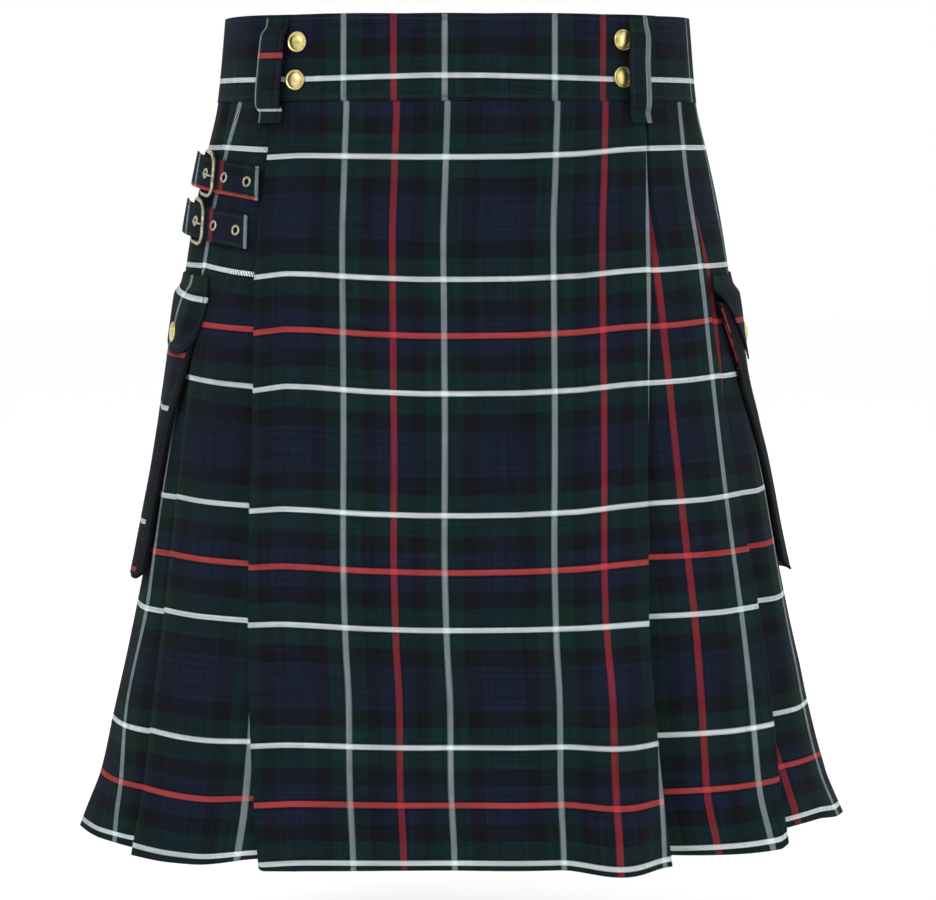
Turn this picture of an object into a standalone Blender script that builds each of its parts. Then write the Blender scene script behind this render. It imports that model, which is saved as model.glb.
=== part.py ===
"""A man's cargo kilt, filled out as it is worn, with nobody in it.

Metres, +Z up, the wearer faces -Y.  The origin is the centre of the waist, half way down the waistband.
Right and left are the wearer's own, so the right side is at -X.  The cloth lies on a body surface that is
given by a few level outlines.  A place on it is a drop below the top edge, a distance s round the body from
the centre front (left is positive) and a distance out from the surface.
"""
import bmesh
import bpy
import numpy as np
from math import cos, pi, sin
from mathutils import Matrix, Vector

MM = 0.001
LENGTH = 610.0                  # top edge to hem
PLEAT_LENGTH = 602.0            # top edge to the hem of the pleats and the under-apron
BAND_HEIGHT = 61.5
CLOTH_TOP = 62.4                # the cloth starts this far down, clear of the band
ORIGIN_DROP = 31.0              # the origin's height below the top edge
SEAM = 0.3                      # space left at every seam
CLOTH = 1.2                     # wall of the body cloth
BAND_WALL = 3.0
BAND_OUT = -0.3                 # middle of the waistband's wall, from the body surface
FELL = 265.0                    # the pleats are stitched down to here and fall free below
FOLD = 2.2                      # from one layer to the next where pleats lie flat

# Level outlines of the body, in mm: half width, reach to the front and to the back of the origin,
# place of the widest point, and squareness of the front.
OUTLINES = {
    "drop":  (0,    61,   100,  140,  180,  265,  350,  437,   520,  565,  610),
    "half":  (172,  178,  187,  196,  203,  214,  227,  243.5, 264,  277,  301),
    "front": (119,  121,  124,  127,  130,  136,  141,  147,   152,  155,  157),
    "back":  (113,  119,  131,  144,  153,  162,  168,  177,   189,  197,  206),
    "wide":  (0,    1,    3,    5,    7,    11,   15,   20,    25,   28,   30),
    "flat":  (2.30, 2.32, 2.34, 2.36, 2.38, 2.42, 2.46, 2.50,  2.54, 2.57, 2.60),
}
BACK_ROUND = 2.15

LEAN = {                        # how far the cloth of each side stands out beyond the outline, at the side
    "drop":  (255, 302, 330, 360, 436, 480, 520, 560,  575,  612),
    "right": (0,   0,   0,   0,   0,   -0.4, -0.9, -2.4, -3.2, -7),
    "left":  (0,   3,   5.5, 6.5, 7,   7,   5.4, 5.4,  4,    0),
}
SAG = {                         # how much lower than level the hem hangs, at places round from the front
    "from": 430.0,
    "s":    (-420, -340, -300, -250, -195, -144, -40, 60, 156, 200, 246, 262, 310, 350, 420),
    "down": (0,    3.5,  6.5,  9.5,  10,   3.5,  0,   0,  5,   5.5, 4.5, -4, -5.5, -1.5, 0),
}

# Side edges of the apron, in mm round from the centre front.
APRON = {
    "drop":  (62,   100,  190,  270,  350,  435,  520,  610),
    "right": (-140, -143, -152, -152, -154, -154, -151, -144),
    "left":  (142,  142,  143,  141,  140,  140,  145,  156),
}

# Pleats of one side, from the apron to the centre back: where each fold but the first stands, as a share of
# the way, and how far the cloth steps in behind the fold before each pleat, at the hem.
PLEATS_RIGHT = {
    "fold": (0.305, 0.475, 0.65, 0.82, 0.985),
    "step": (9.0,   25.0,  26.0,  26.0, 26.0, 26.0),
    "last_step": 26.0,
}
PLEATS_LEFT = {
    "fold": (0.335, 0.50,  0.665, 0.83, 0.985),
    "step": (31.0,  28.0,  26.0,  26.0,  26.0, 26.0),
    "last_step": 26.0,
}
FIRST_FOLD = {                  # the first fold of each side, as the same share
    "drop":  (62.0, 120.0, 180.0, 265.0, 350.0, 437.0, 520.0, 565.0, 610.0),
    "right": (0.13, 0.118, 0.133, 0.160, 0.165, 0.165, 0.165, 0.165, 0.165),
    "left":  (0.13, 0.118, 0.133, 0.165, 0.190, 0.201, 0.187, 0.172, 0.155),
}
UNDERLAP_FELL = 40.0            # hidden return of each pleat down to the fell
UNDERLAP_HEM = 34.0

COLOURS = {
    "tartan": ((0.012, 0.022, 0.026), 0.85, 0.0),
    "dark_tartan": ((0.010, 0.014, 0.024), 0.85, 0.0),
    "brass": ((0.44, 0.31, 0.12), 0.35, 1.0),
}

for old in list(bpy.data.objects):
    bpy.data.objects.remove(old, do_unlink=True)
kilt = bpy.data.collections.new("scottish_kilt")
bpy.context.scene.collection.children.link(kilt)


def material(name):
    made = bpy.data.materials.get(name)
    if made is None:
        colour, roughness, metallic = COLOURS[name]
        made = bpy.data.materials.new(name)
        made.use_nodes = True
        shader = made.node_tree.nodes["Principled BSDF"]
        shader.inputs["Base Color"].default_value = (*colour, 1.0)
        shader.inputs["Roughness"].default_value = roughness
        shader.inputs["Metallic"].default_value = metallic
    return made


# ---------------------------------------------------------------- the body surface

rings = {}


def ring(drop):
    """One level outline as a table of s, x, y and the outward direction, for the left half."""
    key = round(drop, 3)
    if key not in rings:
        half, front, back, wide, flat = (
            np.interp(drop, OUTLINES["drop"], OUTLINES[k]) for k in ("half", "front", "back", "wide", "flat"))
        turn = np.linspace(0.0, pi, 801)
        ahead = np.cos(turn)
        reach = np.where(ahead > 0, front + wide, back - wide)
        power = 2.0 / np.where(ahead > 0, flat, BACK_ROUND)
        x = half * np.abs(np.sin(turn)) ** power
        y = wide - reach * np.sign(ahead) * np.abs(ahead) ** power
        s = np.concatenate([[0.0], np.cumsum(np.hypot(np.diff(x), np.diff(y)))])
        dx, dy = np.gradient(x), np.gradient(y)
        size = np.hypot(dx, dy)
        rings[key] = (s, x, y, dy / size, -dx / size)
    return rings[key]


def half_girth(drop):
    return float(ring(drop)[0][-1])


def place(drop, s, out=0.0):
    """The point at a drop, a distance s round and a distance out, in metres."""
    arc, x, y, out_x, out_y = ring(drop)
    reach = arc[-1]
    s = (s + reach) % (2 * reach) - reach
    side = -1.0 if s < 0 else 1.0
    lean = np.interp(drop, LEAN["drop"], LEAN["left" if side > 0 else "right"])
    fade = np.clip((drop - SAG["from"]) / (PLEAT_LENGTH - SAG["from"]), 0.0, 1.0)
    drop += fade ** 1.3 * np.interp(s, SAG["s"], SAG["down"])
    arc, x, y, out_x, out_y = ring(drop)
    s = abs(s)
    out += lean * np.interp(s, (222.0, 288.0, 0.52 * reach, 0.66 * reach), (0.0, 1.0, 1.0, 0.0))
    px = np.interp(s, arc, x) + out * np.interp(s, arc, out_x)
    py = np.interp(s, arc, y) + out * np.interp(s, arc, out_y)
    return Vector((side * px * MM, py * MM, (ORIGIN_DROP - drop) * MM))


def frame_at(drop, s, out=0.0):
    """A matrix at a place on the surface: X runs round to the left, Y up the cloth, Z outwards."""
    here = place(drop, s, out)
    along = (place(drop, s + 1.0, out) - place(drop, s - 1.0, out)).normalized()
    up = (place(drop - 1.0, s, out) - place(drop + 1.0, s, out)).normalized()
    outward = along.cross(up).normalized()
    up = outward.cross(along)
    turn = Matrix((along, up, outward)).transposed().to_4x4()
    return Matrix.Translation(here) @ turn


def apron_edge(drop, side):
    return float(np.interp(drop, APRON["drop"], APRON[side]))


def openness(drop):
    return float(np.clip((drop - FELL) / (LENGTH - FELL), 0.0, 1.0))


def blend(at_fell, at_hem, drop):
    return at_fell + (at_hem - at_fell) * openness(drop)


# ---------------------------------------------------------------- builders

def add_mesh(name, points, faces, look, smooth=35):
    mesh = bpy.data.meshes.new(name)
    mesh.from_pydata([tuple(p) for p in points], [], faces)
    mesh.shade_smooth()
    mesh.set_sharp_from_angle(angle=np.radians(smooth))
    mesh.materials.append(material(look))
    made = bpy.data.objects.new(name, mesh)
    kilt.objects.link(made)
    return made


def loft(name, rows, wall, look, closed=False, bottom=False, slot=()):
    """Cloth through rows of points, top row first, thickened to both sides.  A slot is left out of it."""
    wide = len(rows[0])
    points = [p for row in rows for p in row]
    faces = []
    for r in range(len(rows) - 1):
        for c in range(wide if closed else wide - 1):
            if (r, c) in slot:
                continue
            d = (c + 1) % wide
            a, b = r * wide, (r + 1) * wide
            faces.append((a + d, a + c, b + c, b + d))
    if bottom:
        last = (len(rows) - 1) * wide
        for c in range(wide // 2 - 1):
            faces.append((last + c + 1, last + c, last + wide - 1 - c, last + wide - 2 - c))
    made = add_mesh(name, points, faces, look)
    thick = made.modifiers.new("wall", "SOLIDIFY")
    thick.thickness = wall * MM
    thick.offset = 0.0
    thick.use_even_offset = True
    return made


def join_mesh(obj):
    """Replace a curve by its own welded mesh."""
    depsgraph = bpy.context.evaluated_depsgraph_get()
    mesh = bpy.data.meshes.new_from_object(obj.evaluated_get(depsgraph))
    work = bmesh.new()
    work.from_mesh(mesh)
    bmesh.ops.remove_doubles(work, verts=work.verts, dist=0.00002)
    bmesh.ops.recalc_face_normals(work, faces=work.faces)
    work.to_mesh(mesh)
    work.free()
    made = bpy.data.objects.new(obj.name + "_solid", mesh)
    made.matrix_world = obj.matrix_world
    kilt.objects.link(made)
    name = obj.name
    bpy.data.objects.remove(obj, do_unlink=True)
    made.name = name
    return made


# ---------------------------------------------------------------- pleats

def pleat_paths(drop, side, pleats):
    """The folded cloth of one side at one level, one path of (s, out) for each pleat, from the apron back."""
    sign = 1.0 if side == "left" else -1.0
    edge = abs(apron_edge(drop, side))
    room = half_girth(drop) - edge
    lap = blend(UNDERLAP_FELL, UNDERLAP_HEM, drop)
    nip = FOLD / 2
    first = float(np.interp(drop, FIRST_FOLD["drop"], FIRST_FOLD[side]))
    folds = [edge, edge + first * room] + [edge + share * room for share in pleats["fold"]]
    steps = list(pleats["step"]) + [pleats["last_step"]]
    paths = []
    for k in range(1, len(folds)):
        before, fold = folds[k - 1], folds[k]
        deep = blend(2 * FOLD, steps[k - 1], drop)
        slope = deep / (fold - before + lap)
        lie = openness(drop)

        def face(s, flat_out):
            return flat_out * (1 - lie) + (-deep + slope * (s - before + lap)) * lie

        # The layer in front turns in beside each start, so a pleat starts on that turn, a seam's width away.
        # Nothing turns in there ahead of the first pleat of the right side.
        path = [] if side == "right" and k == 1 else [(before - lap + 0.6 * nip, -deep + 0.45 * nip)]
        path += [(before - lap + nip, -deep),
                 (before - lap / 2, face(before - lap / 2, -deep)),
                 (before + 1.5, face(before + 1.5, -deep)),
                 (fold - lap - 1.0, face(fold - lap - 1.0, 0.0)),
                 (fold - lap / 2, face(fold - lap / 2, 0.0)),
                 (fold - nip, 0.0),
                 (fold, -nip),
                 (fold - nip, -FOLD)]
        deeper = blend(2 * FOLD, steps[k], drop)
        path += [(fold - lap / 2, -deeper / 2),
                 (fold - lap + nip, -deeper + FOLD)]
        if k == len(folds) - 1:
            path += [(fold - lap, -deeper + nip),
                     (fold - lap + nip, -deeper),
                     (fold - lap / 2, -deeper),
                     (half_girth(drop) - SEAM / 2, -deeper)]
        paths.append([(sign * s, out) for s, out in path])
    return paths


PLEAT_DROPS = (CLOTH_TOP, 120.0, 190.0, FELL, 350.0, 437.0, 520.0, 565.0, PLEAT_LENGTH)

for side, pleats in (("right", PLEATS_RIGHT), ("left", PLEATS_LEFT)):
    levels = [pleat_paths(drop, side, pleats) for drop in PLEAT_DROPS]
    for k in range(len(levels[0])):
        rows = []
        for drop, paths in zip(PLEAT_DROPS, levels):
            path = paths[k][::-1] if side == "right" else paths[k]
            rows.append([place(drop, s, out) for s, out in path])
        loft("pleat_%s_%d" % (side, k + 1), rows, CLOTH, "tartan")

# ---------------------------------------------------------------- apron and under-apron

APRON_SHARES = (0.0, 0.09, 0.2, 0.32, 0.44, 0.56, 0.68, 0.745, 0.79, 0.835, 0.88, 0.925, 0.965)
APRON_DROPS = (CLOTH_TOP, 120.0, 190.0, FELL, 350.0, 437.0, 480.0, 520.0, 565.0, PLEAT_LENGTH, LENGTH)
FLUTE = {"centre": 115.0, "reach": 42.0, "height": 27.0, "start": 430.0}


def flute(drop, s):
    """The soft wave that stands forward near the apron's left edge towards the hem."""
    along = abs(s - FLUTE["centre"]) / FLUTE["reach"]
    down = np.clip((drop - FLUTE["start"]) / (LENGTH - FLUTE["start"]), 0.0, 1.0)
    return FLUTE["height"] * down ** 0.8 * (0.5 + 0.5 * cos(pi * along)) if along < 1 else 0.0


rows = []
for drop in APRON_DROPS:
    first, last = apron_edge(drop, "right"), apron_edge(drop, "left")
    lap = blend(UNDERLAP_FELL, UNDERLAP_HEM, drop)
    step = blend(2 * FOLD, PLEATS_LEFT["step"][0], drop)
    nip = FOLD / 2
    path = [(first + share * (last - first), 0.0) for share in APRON_SHARES] + [(last - nip, 0.0)]
    path = [(s, flute(drop, s)) for s, out in path]
    path += [(last, -nip), (last - nip, -FOLD), (last - lap / 2, -step / 2), (last - lap + nip, -step + FOLD)]
    rows.append([place(drop, s, out) for s, out in path])
loft("apron", rows, CLOTH, "tartan")

UNDER_DROPS = PLEAT_DROPS
rows = []
for drop in UNDER_DROPS:
    lap = blend(UNDERLAP_FELL, UNDERLAP_HEM, drop)
    start = apron_edge(drop, "right") + lap - FOLD / 2 + SEAM
    end = apron_edge(drop, "left") + 12.0
    turn_in = apron_edge(drop, "left") - lap - 6.0
    right_out = -blend(2 * FOLD, PLEATS_RIGHT["step"][0], drop)
    left_out = -blend(2 * FOLD, PLEATS_LEFT["step"][0], drop) - 2.6
    path = [(start, right_out), (start + 10.0, right_out), (start + 0.33 * (turn_in - start), right_out - 1.0),
            (start + 0.66 * (turn_in - start), 0.5 * (right_out + left_out)),
            (turn_in - 14.0, left_out), (turn_in, left_out), (0.5 * (turn_in + end), left_out), (end, left_out)]
    rows.append([place(drop, s, out) for s, out in path])
loft("under_apron", rows, CLOTH, "dark_tartan")

# ---------------------------------------------------------------- waistband

band_lap = BAND_WALL + 0.6
girth = 2 * half_girth(BAND_HEIGHT / 2)
start = apron_edge(62.0, "right")
band_path = [(start + share * girth, BAND_OUT) for share in np.linspace(0.0, 1.0, 57)[:-1]]
band_path = [(s, out) for s, out in band_path if s < start + girth - 26.0]
band_path += [(start + girth - 24.0, BAND_OUT), (start + girth - 4.0, BAND_OUT - band_lap)]
band_path += [(start + girth + s, BAND_OUT - band_lap) for s in np.linspace(14.0, 300.0, 17)]
rows = []
for drop in (0.0, BAND_HEIGHT):
    scale = 2 * half_girth(drop) / girth
    rows.append([place(drop, s * scale, out) for s, out in band_path])
loft("waistband", rows, BAND_WALL, "tartan")


# ---------------------------------------------------------------- belt loops

LOOP_WIDTH = 20.0
LOOP_WALL = 1.4
LOOPS = {
    "name": ("front_right", "front_left", "side_right", "side_left", "back"),
    "s":    (-132.5,        134.5,        -300.0,       300.0,       466.0),
}
LOOP_RUN = {
    "drop": (2.0, 9.0, 14.0, 34.0, 54.0, 65.0, 69.0, 77.0),
    "out":  (2.2, 2.2, 8.2,  9.4,  9.8,  8.4,  1.7,  1.7),
}

for name, middle in zip(LOOPS["name"], LOOPS["s"]):
    rows = []
    for drop, out in zip(LOOP_RUN["drop"], LOOP_RUN["out"]):
        centre = middle * half_girth(drop) / half_girth(0.0)
        rows.append([place(drop, centre + share * LOOP_WIDTH, out) for share in (-0.5, 0.0, 0.5)])
    loft("belt_loop_" + name, rows, LOOP_WALL, "tartan")

# ---------------------------------------------------------------- snaps and eyelets


def turned(name, profile, matrix, steps, look):
    """A turned piece from its (radius, height) profile, height along the matrix's Z."""
    closed = profile[0] == profile[-1]
    points = [(r * MM, 0.0, h * MM) for r, h in (profile[:-1] if closed else profile)]
    mesh = bpy.data.meshes.new(name)
    edges = [(k, k + 1) for k in range(len(points) - 1)]
    if closed:
        edges.append((len(points) - 1, 0))
    mesh.from_pydata(points, edges, [])
    mesh.materials.append(material(look))
    made = bpy.data.objects.new(name, mesh)
    made.matrix_world = matrix
    kilt.objects.link(made)
    screw = made.modifiers.new("turn", "SCREW")
    screw.steps = screw.render_steps = steps
    screw.use_merge_vertices = True
    screw.merge_threshold = 0.00002
    screw.use_smooth_shade = True
    return made


SNAP_CAP = ((0.0, 2.6), (3.6, 2.3), (6.4, 1.5), (7.6, 0.6), (7.6, 0.0), (0.0, 0.0))
SNAPS = {
    "name": ("right_upper", "right_lower", "left_upper", "left_lower"),
    "drop": (19.5,          46.5,          18.0,         44.5),
    "s":    (-116.5,        -118.0,        121.5,        121.5),
}
for name, drop, s in zip(SNAPS["name"], SNAPS["drop"], SNAPS["s"]):
    turned("snap_" + name, SNAP_CAP, frame_at(drop, s, BAND_OUT + BAND_WALL / 2 + SEAM + 0.3), 16, "brass")

# ---------------------------------------------------------------- cargo pockets

POCKET = {                      # outer face from the inner one, and the edges' places from the widest place
    "drop":        (210.0, 224.0, 240.0, 256.0, 272.0, 288.0, 305.0, 350.0, 395.0, 420.0),
    "deep":        (2.7,   2.9,   3.2,   3.6,   4.0,   4.4,   4.8,   5.7,   6.8,   7.4),
    "right_front": (-80.0, -78.0, -76.0, -72.0, -68.0, -65.0, -63.0, -62.0, -62.0, -62.0),
    "right_back":  (66.0,  67.0,  69.0,  72.0,  75.0,  77.0,  79.0,  80.0,  80.0,  80.0),
    "left_front":  (-77.0, -72.0, -66.0, -60.0, -53.0, -45.0, -37.0, -25.0, -20.0, -20.0),
    "left_back":   (68.0,  72.0,  77.0,  83.0,  90.0,  99.0,  108.0, 116.0, 120.0, 120.0),
}
POCKET_WALL = 1.2
POCKET_SHARES = (0.0, 0.125, 0.25, 0.375, 0.5, 0.625, 0.75, 0.875, 1.0)
BAG_OFF = 2.4                   # middle of the bag's inner wall, out from the pleats
FLAP = {                        # middle, half width, drop of the side edges' lower ends, of the point and of the snap
    "right": (-247.0, 58.0, 206.0, 249.0, 231.0),
    "left":  (276.0,  70.0, 198.0, 255.0, 233.0),
}
FLAP_TOP = 188.0
FLAP_OUT = {"drop": (188.0, 195.0, 204.0, 225.0, 255.0), "out": (2.1, 2.4, 6.6, 7.3, 8.1)}
FLAP_SHARES = (-1.0, -0.8, -0.6, -0.4, -0.2, 0.0, 0.2, 0.4, 0.6, 0.8, 1.0)
FLAP_STEPS = (0.0, 0.1, 0.2, 0.3, 0.4, 0.55, 0.7, 0.85, 1.0)


def side_s(drop):
    arc, x = ring(drop)[:2]
    return float(arc[int(np.argmax(x))])


for side, sign in (("right", -1.0), ("left", 1.0)):
    rows = []
    for drop, deep, front, back in zip(POCKET["drop"], POCKET["deep"], POCKET[side + "_front"], POCKET[side + "_back"]):
        across = [side_s(drop) + front + share * (back - front) for share in POCKET_SHARES]
        path = [(sign * s, BAG_OFF) for s in across] + [(sign * s, BAG_OFF + deep) for s in across[::-1]]
        if side == "left":
            path.reverse()
        rows.append([place(drop, s, out) for s, out in path])
    loft("pocket_" + side, rows, POCKET_WALL, "dark_tartan", closed=True, bottom=True)

    middle, half, side_end, point, snap_drop = FLAP[side]
    rows = []
    for step in FLAP_STEPS:
        row = []
        for share in FLAP_SHARES:
            drop = FLAP_TOP + step * (point + (side_end - point) * abs(share) - FLAP_TOP)
            row.append(place(drop, middle + share * half, np.interp(drop, FLAP_OUT["drop"], FLAP_OUT["out"])))
        rows.append(row)
    loft("pocket_flap_" + side, rows, CLOTH, "tartan")
    snap_out = float(np.interp(snap_drop, FLAP_OUT["drop"], FLAP_OUT["out"])) + 1.2
    turned("pocket_snap_" + side, SNAP_CAP, frame_at(snap_drop, middle, snap_out), 16, "brass")


# ---------------------------------------------------------------- straps and buckles

STRAP = {"width": 24.4, "wall": 1.4, "rise": 0.13, "hole": 2.2, "pitch": 24.5, "first": 11.0}
STRAPS = {                      # middle of the sewn end, and how far round the tip lies
    "name":  ("upper", "lower"),
    "drop":  (120.5,   155.4),
    "start": (148.4,   157.6),
    "tip":   (238.0,   248.0),
}
STRAP_LIFT = {                  # from the sewn end to the hole over the prong, on over the bar, to the tip
    "along": (0.0,  9.0,  17.0, 26.0, 37.0, 46.0, 60.0, 74.0, 82.0, 90.0),
    "out":   (1.7, 1.7,  2.0,  2.6,  3.9,  5.0,  6.2,  7.5,  7.6,  7.3),
}
FRAME = {"wide": 28.0, "high": 31.0, "corner": 8.0, "wire": 1.2, "bar_out": 3.6, "front_out": 7.7}
CHAPE_WALL = 1.0
PRONG_WIRE = 0.8


def tube(name, points, radius, look, cyclic=False):
    curve = bpy.data.curves.new(name, "CURVE")
    curve.dimensions = "3D"
    curve.bevel_depth = radius * MM
    curve.bevel_resolution = 2
    curve.use_fill_caps = True
    line = curve.splines.new("POLY")
    line.points.add(len(points) - 1)
    for made, p in zip(line.points, points):
        made.co = (*p, 1.0)
    line.use_cyclic_u = cyclic
    curve.materials.append(material(look))
    obj = bpy.data.objects.new(name, curve)
    kilt.objects.link(obj)
    return join_mesh(obj)


def rounded_loop(wide, high, corner, steps=5):
    """A rectangle with round corners about its centre, anticlockwise."""
    loop = []
    for quarter, (x, y) in enumerate(((1, -1), (1, 1), (-1, 1), (-1, -1))):
        for k in range(steps):
            turn = (quarter - 1) * pi / 2 + k / (steps - 1) * pi / 2
            loop.append((x * (wide / 2 - corner) + corner * cos(turn), y * (high / 2 - corner) + corner * sin(turn)))
    return loop


cutters = bpy.data.collections.new("cutters")
bpy.context.scene.collection.children.link(cutters)

for name, drop, start, tip in zip(*(STRAPS[k] for k in ("name", "drop", "start", "tip"))):
    def strap_drop(along):
        return drop - STRAP["rise"] * along

    def strap_out(along):
        return float(np.interp(along, STRAP_LIFT["along"], STRAP_LIFT["out"]))

    # The strap runs round to the back, so along = 0 at its sewn end and s = -(start + along).
    alongs = sorted(set(STRAP_LIFT["along"][:-1]) | {13.0, 31.5, 53.0, 67.0} | {tip - start})
    rows = []
    for along in alongs:
        s, low = -(start + along), strap_drop(along)
        rows.append([place(low + across * STRAP["width"], s, strap_out(along)) for across in (0.5, 0.17, -0.17, -0.5)])
    strap = loft("strap_" + name, rows, STRAP["wall"], "tartan")
    holes = [STRAP["first"] + k * STRAP["pitch"] for k in range(3)]
    for k, along in enumerate(holes):
        spot = frame_at(strap_drop(along), -(start + along), strap_out(along))
        bpy.ops.mesh.primitive_cylinder_add(vertices=16, radius=STRAP["hole"] * MM, depth=6 * MM)
        cutter = bpy.context.object
        cutter.name = "hole_%s_%d" % (name, k + 1)
        cutter.matrix_world = spot
        cutter.display_type = "WIRE"
        cutter.hide_render = True
        for owner in list(cutter.users_collection):
            owner.objects.unlink(cutter)
        cutters.objects.link(cutter)
        cut = strap.modifiers.new("hole", "BOOLEAN")
        cut.operation = "DIFFERENCE"
        cut.object = cutter
        seat = frame_at(strap_drop(along), -(start + along), strap_out(along) + STRAP["wall"] / 2 + 0.45)
        rim = ((2.1, 0.5), (2.6, 0.8), (3.5, 0.7), (4.0, 0.0), (2.1, 0.0), (2.1, 0.5))
        turned("eyelet_%s_%d" % (name, k + 1), rim, seat, 16, "brass")

    # Buckle: the bar lies behind the last hole, away from the apron.
    bar = holes[2] + 14.0
    tilt = (FRAME["front_out"] - FRAME["bar_out"]) / FRAME["wide"]
    centre = bar - FRAME["wide"] / 2

    def on_frame(x, y):
        """x runs towards the apron from the frame's centre, y up."""
        along = centre - x
        out = FRAME["bar_out"] + tilt * (bar - along)
        return place(strap_drop(along) - y, -(start + along), out)

    loop = [on_frame(x, y) for x, y in rounded_loop(FRAME["wide"], FRAME["high"], FRAME["corner"])]
    tube("buckle_" + name, loop, FRAME["wire"], "brass", cyclic=True)

    wrap = FRAME["wire"] + SEAM + 0.1 + CHAPE_WALL / 2
    path = [(bar + 17.0, 1.6), (bar + 9.0, 1.6), (bar + 3.0, FRAME["bar_out"] - wrap)]
    path += [(bar - wrap * cos(turn), FRAME["bar_out"] + wrap * sin(turn)) for turn in np.linspace(-pi / 2, pi / 2, 7)]
    path += [(bar + 6.0, FRAME["bar_out"] + wrap - 0.3), (bar + 12.0, 4.2)]
    rows = [[place(strap_drop(along) + across, -(start + along), out) for across in (7.0, 2.2, -2.2, -7.0)]
            for along, out in path]
    loft("buckle_tab_" + name, rows, CHAPE_WALL, "dark_tartan", slot={(r, 1) for r in range(2, 9)})

    hook = FRAME["wire"] + SEAM + 0.1 + PRONG_WIRE
    path = [(bar - hook * cos(turn), FRAME["bar_out"] + hook * sin(turn)) for turn in np.radians((205, 240, 270, 305))]
    path += [(bar - 5.0, 3.4), (bar - 12.0, 4.2), (bar - 13.2, 4.6), (bar - 14.2, 6.6), (bar - 15.2, 8.7)]
    path += [(bar - 18.0, 9.5), (bar - 24.0, 9.9), (bar - 29.8, 10.2)]
    tube("prong_" + name, [place(strap_drop(along), -(start + along), out) for along, out in path],
         PRONG_WIRE, "brass")
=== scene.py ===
from functools import partial
from math import cos, pi, radians, sin

import bpy
import numpy as np
from mathutils import Matrix, Vector


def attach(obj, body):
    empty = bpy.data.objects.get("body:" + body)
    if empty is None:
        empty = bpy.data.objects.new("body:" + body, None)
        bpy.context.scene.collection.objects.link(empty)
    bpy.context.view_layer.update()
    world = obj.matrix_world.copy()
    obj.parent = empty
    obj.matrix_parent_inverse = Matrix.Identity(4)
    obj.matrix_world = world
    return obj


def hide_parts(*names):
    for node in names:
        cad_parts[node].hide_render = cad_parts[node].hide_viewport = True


# The looks of a worn-shape tartan kilt: fine cloth sheets over its solids, brass snaps and buckles.
# Lengths are in millimetres until a point is placed. A place on the cloth is a drop below the top edge,
# a distance s round the body from the centre front (the wearer's left is positive) and a distance out.

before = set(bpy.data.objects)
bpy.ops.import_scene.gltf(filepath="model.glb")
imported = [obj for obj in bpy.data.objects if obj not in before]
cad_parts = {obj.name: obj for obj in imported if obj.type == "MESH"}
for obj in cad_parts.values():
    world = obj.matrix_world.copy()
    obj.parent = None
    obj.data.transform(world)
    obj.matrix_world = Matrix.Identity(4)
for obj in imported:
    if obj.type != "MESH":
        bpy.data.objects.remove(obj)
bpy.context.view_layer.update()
print("frame loaded")

mm = 0.001
hemDrop = 610.0
bandHeight = 61.5
clothTop = 61.7
originDrop = 31.0
fellDrop = 265.0                # stitched down to here, free below
foldGap = 2.2                   # from one layer of a pressed fold to the next
clothWall = 1.1

bodyShape = {                   # level outlines of the body: half width, reaches, widest place, squareness
    "drop":  (0,    61,   100,  140,  180,  265,  350,  437,   520,  565,  610,  640),
    "half":  (172,  178,  187,  196,  203,  214,  227,  243.5, 264,  277,  301,  312),
    "front": (119,  121,  124,  127,  130,  136,  141,  147,   152,  155,  157,  158),
    "back":  (113,  119,  131,  144,  153,  162,  168,  177,   189,  197,  206,  212),
    "wide":  (0,    1,    3,    5,    7,    11,   15,   20,    25,   28,   30,   31),
    "flat":  (2.30, 2.32, 2.34, 2.36, 2.38, 2.42, 2.46, 2.50,  2.54, 2.57, 2.60, 2.62),
    "backRound": 2.15,
}
lean = {                        # how far each side stands out beyond the outline, and where round the body
    "drop":  (240, 255, 302, 330, 360, 436, 480, 520,  560,  575,  612, 640),
    "right": (0,   0,   0,   0,   0,   0,   -0.4, -0.9, -2.4, -3.2, -7, -7),
    "left":  (0,   0,   3,   5.5, 6.5, 7,   7,   5.6,  5.4,  4,    0,  0),
    "from": 222.0, "over": 66.0,        # it grows from here
    "until": 0.66, "fade": 0.21,        # and is gone again at this share of the way to the centre back
}
droop = {                       # how much lower than level the hem hangs, at places round from the front
    "from": 430.0, "over": 172.0, "power": 1.3,
    "s":    (-420, -340, -300, -250, -195, -144, -40, 60, 156, 200, 246, 262, 310, 350, 420),
    "down": (0,    3.5,  6.5,  9.0,  10,   3.5,  0,   0,  5,   5.5, 4.5, -3.5, -5.5, -1.5, 0),
}


def climb(value, start, length):     # from 0 at the start to 1 when the length is walked
    return np.clip((value - start) / length, 0.0, 1.0)


def smoothRun(at, places, values):   # a smooth line through a short table that never overshoots it
    at = np.clip(np.asarray(at, float), places[0], places[-1])
    x, y = np.array(places, float), np.array(values, float)
    step, rise = np.diff(x), np.diff(y) / np.diff(x)
    slope = np.zeros(len(x))
    slope[0], slope[-1] = rise[0], rise[-1]
    for k in range(1, len(x) - 1):
        if rise[k - 1] * rise[k] > 0:
            a, b = 2 * step[k] + step[k - 1], step[k] + 2 * step[k - 1]
            slope[k] = (a + b) / (a / rise[k - 1] + b / rise[k])
    k = np.clip(np.searchsorted(x, at, side="right") - 1, 0, len(x) - 2)
    t, h = (at - x[k]) / step[k], step[k]
    return ((1 + 2 * t) * (1 - t) ** 2 * y[k] + t * (1 - t) ** 2 * h * slope[k]
            + t * t * (3 - 2 * t) * y[k + 1] + t * t * (t - 1) * h * slope[k + 1])


def read(table, key, at):            # one line of a piece's table, at any drop
    return smoothRun(at, table["drop"], table[key])


def downRun(start, end, count):
    return np.linspace(start, end, count)[:, None]


def acrossRun(start, end, count):
    return np.linspace(start, end, count)[None, :]


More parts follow.
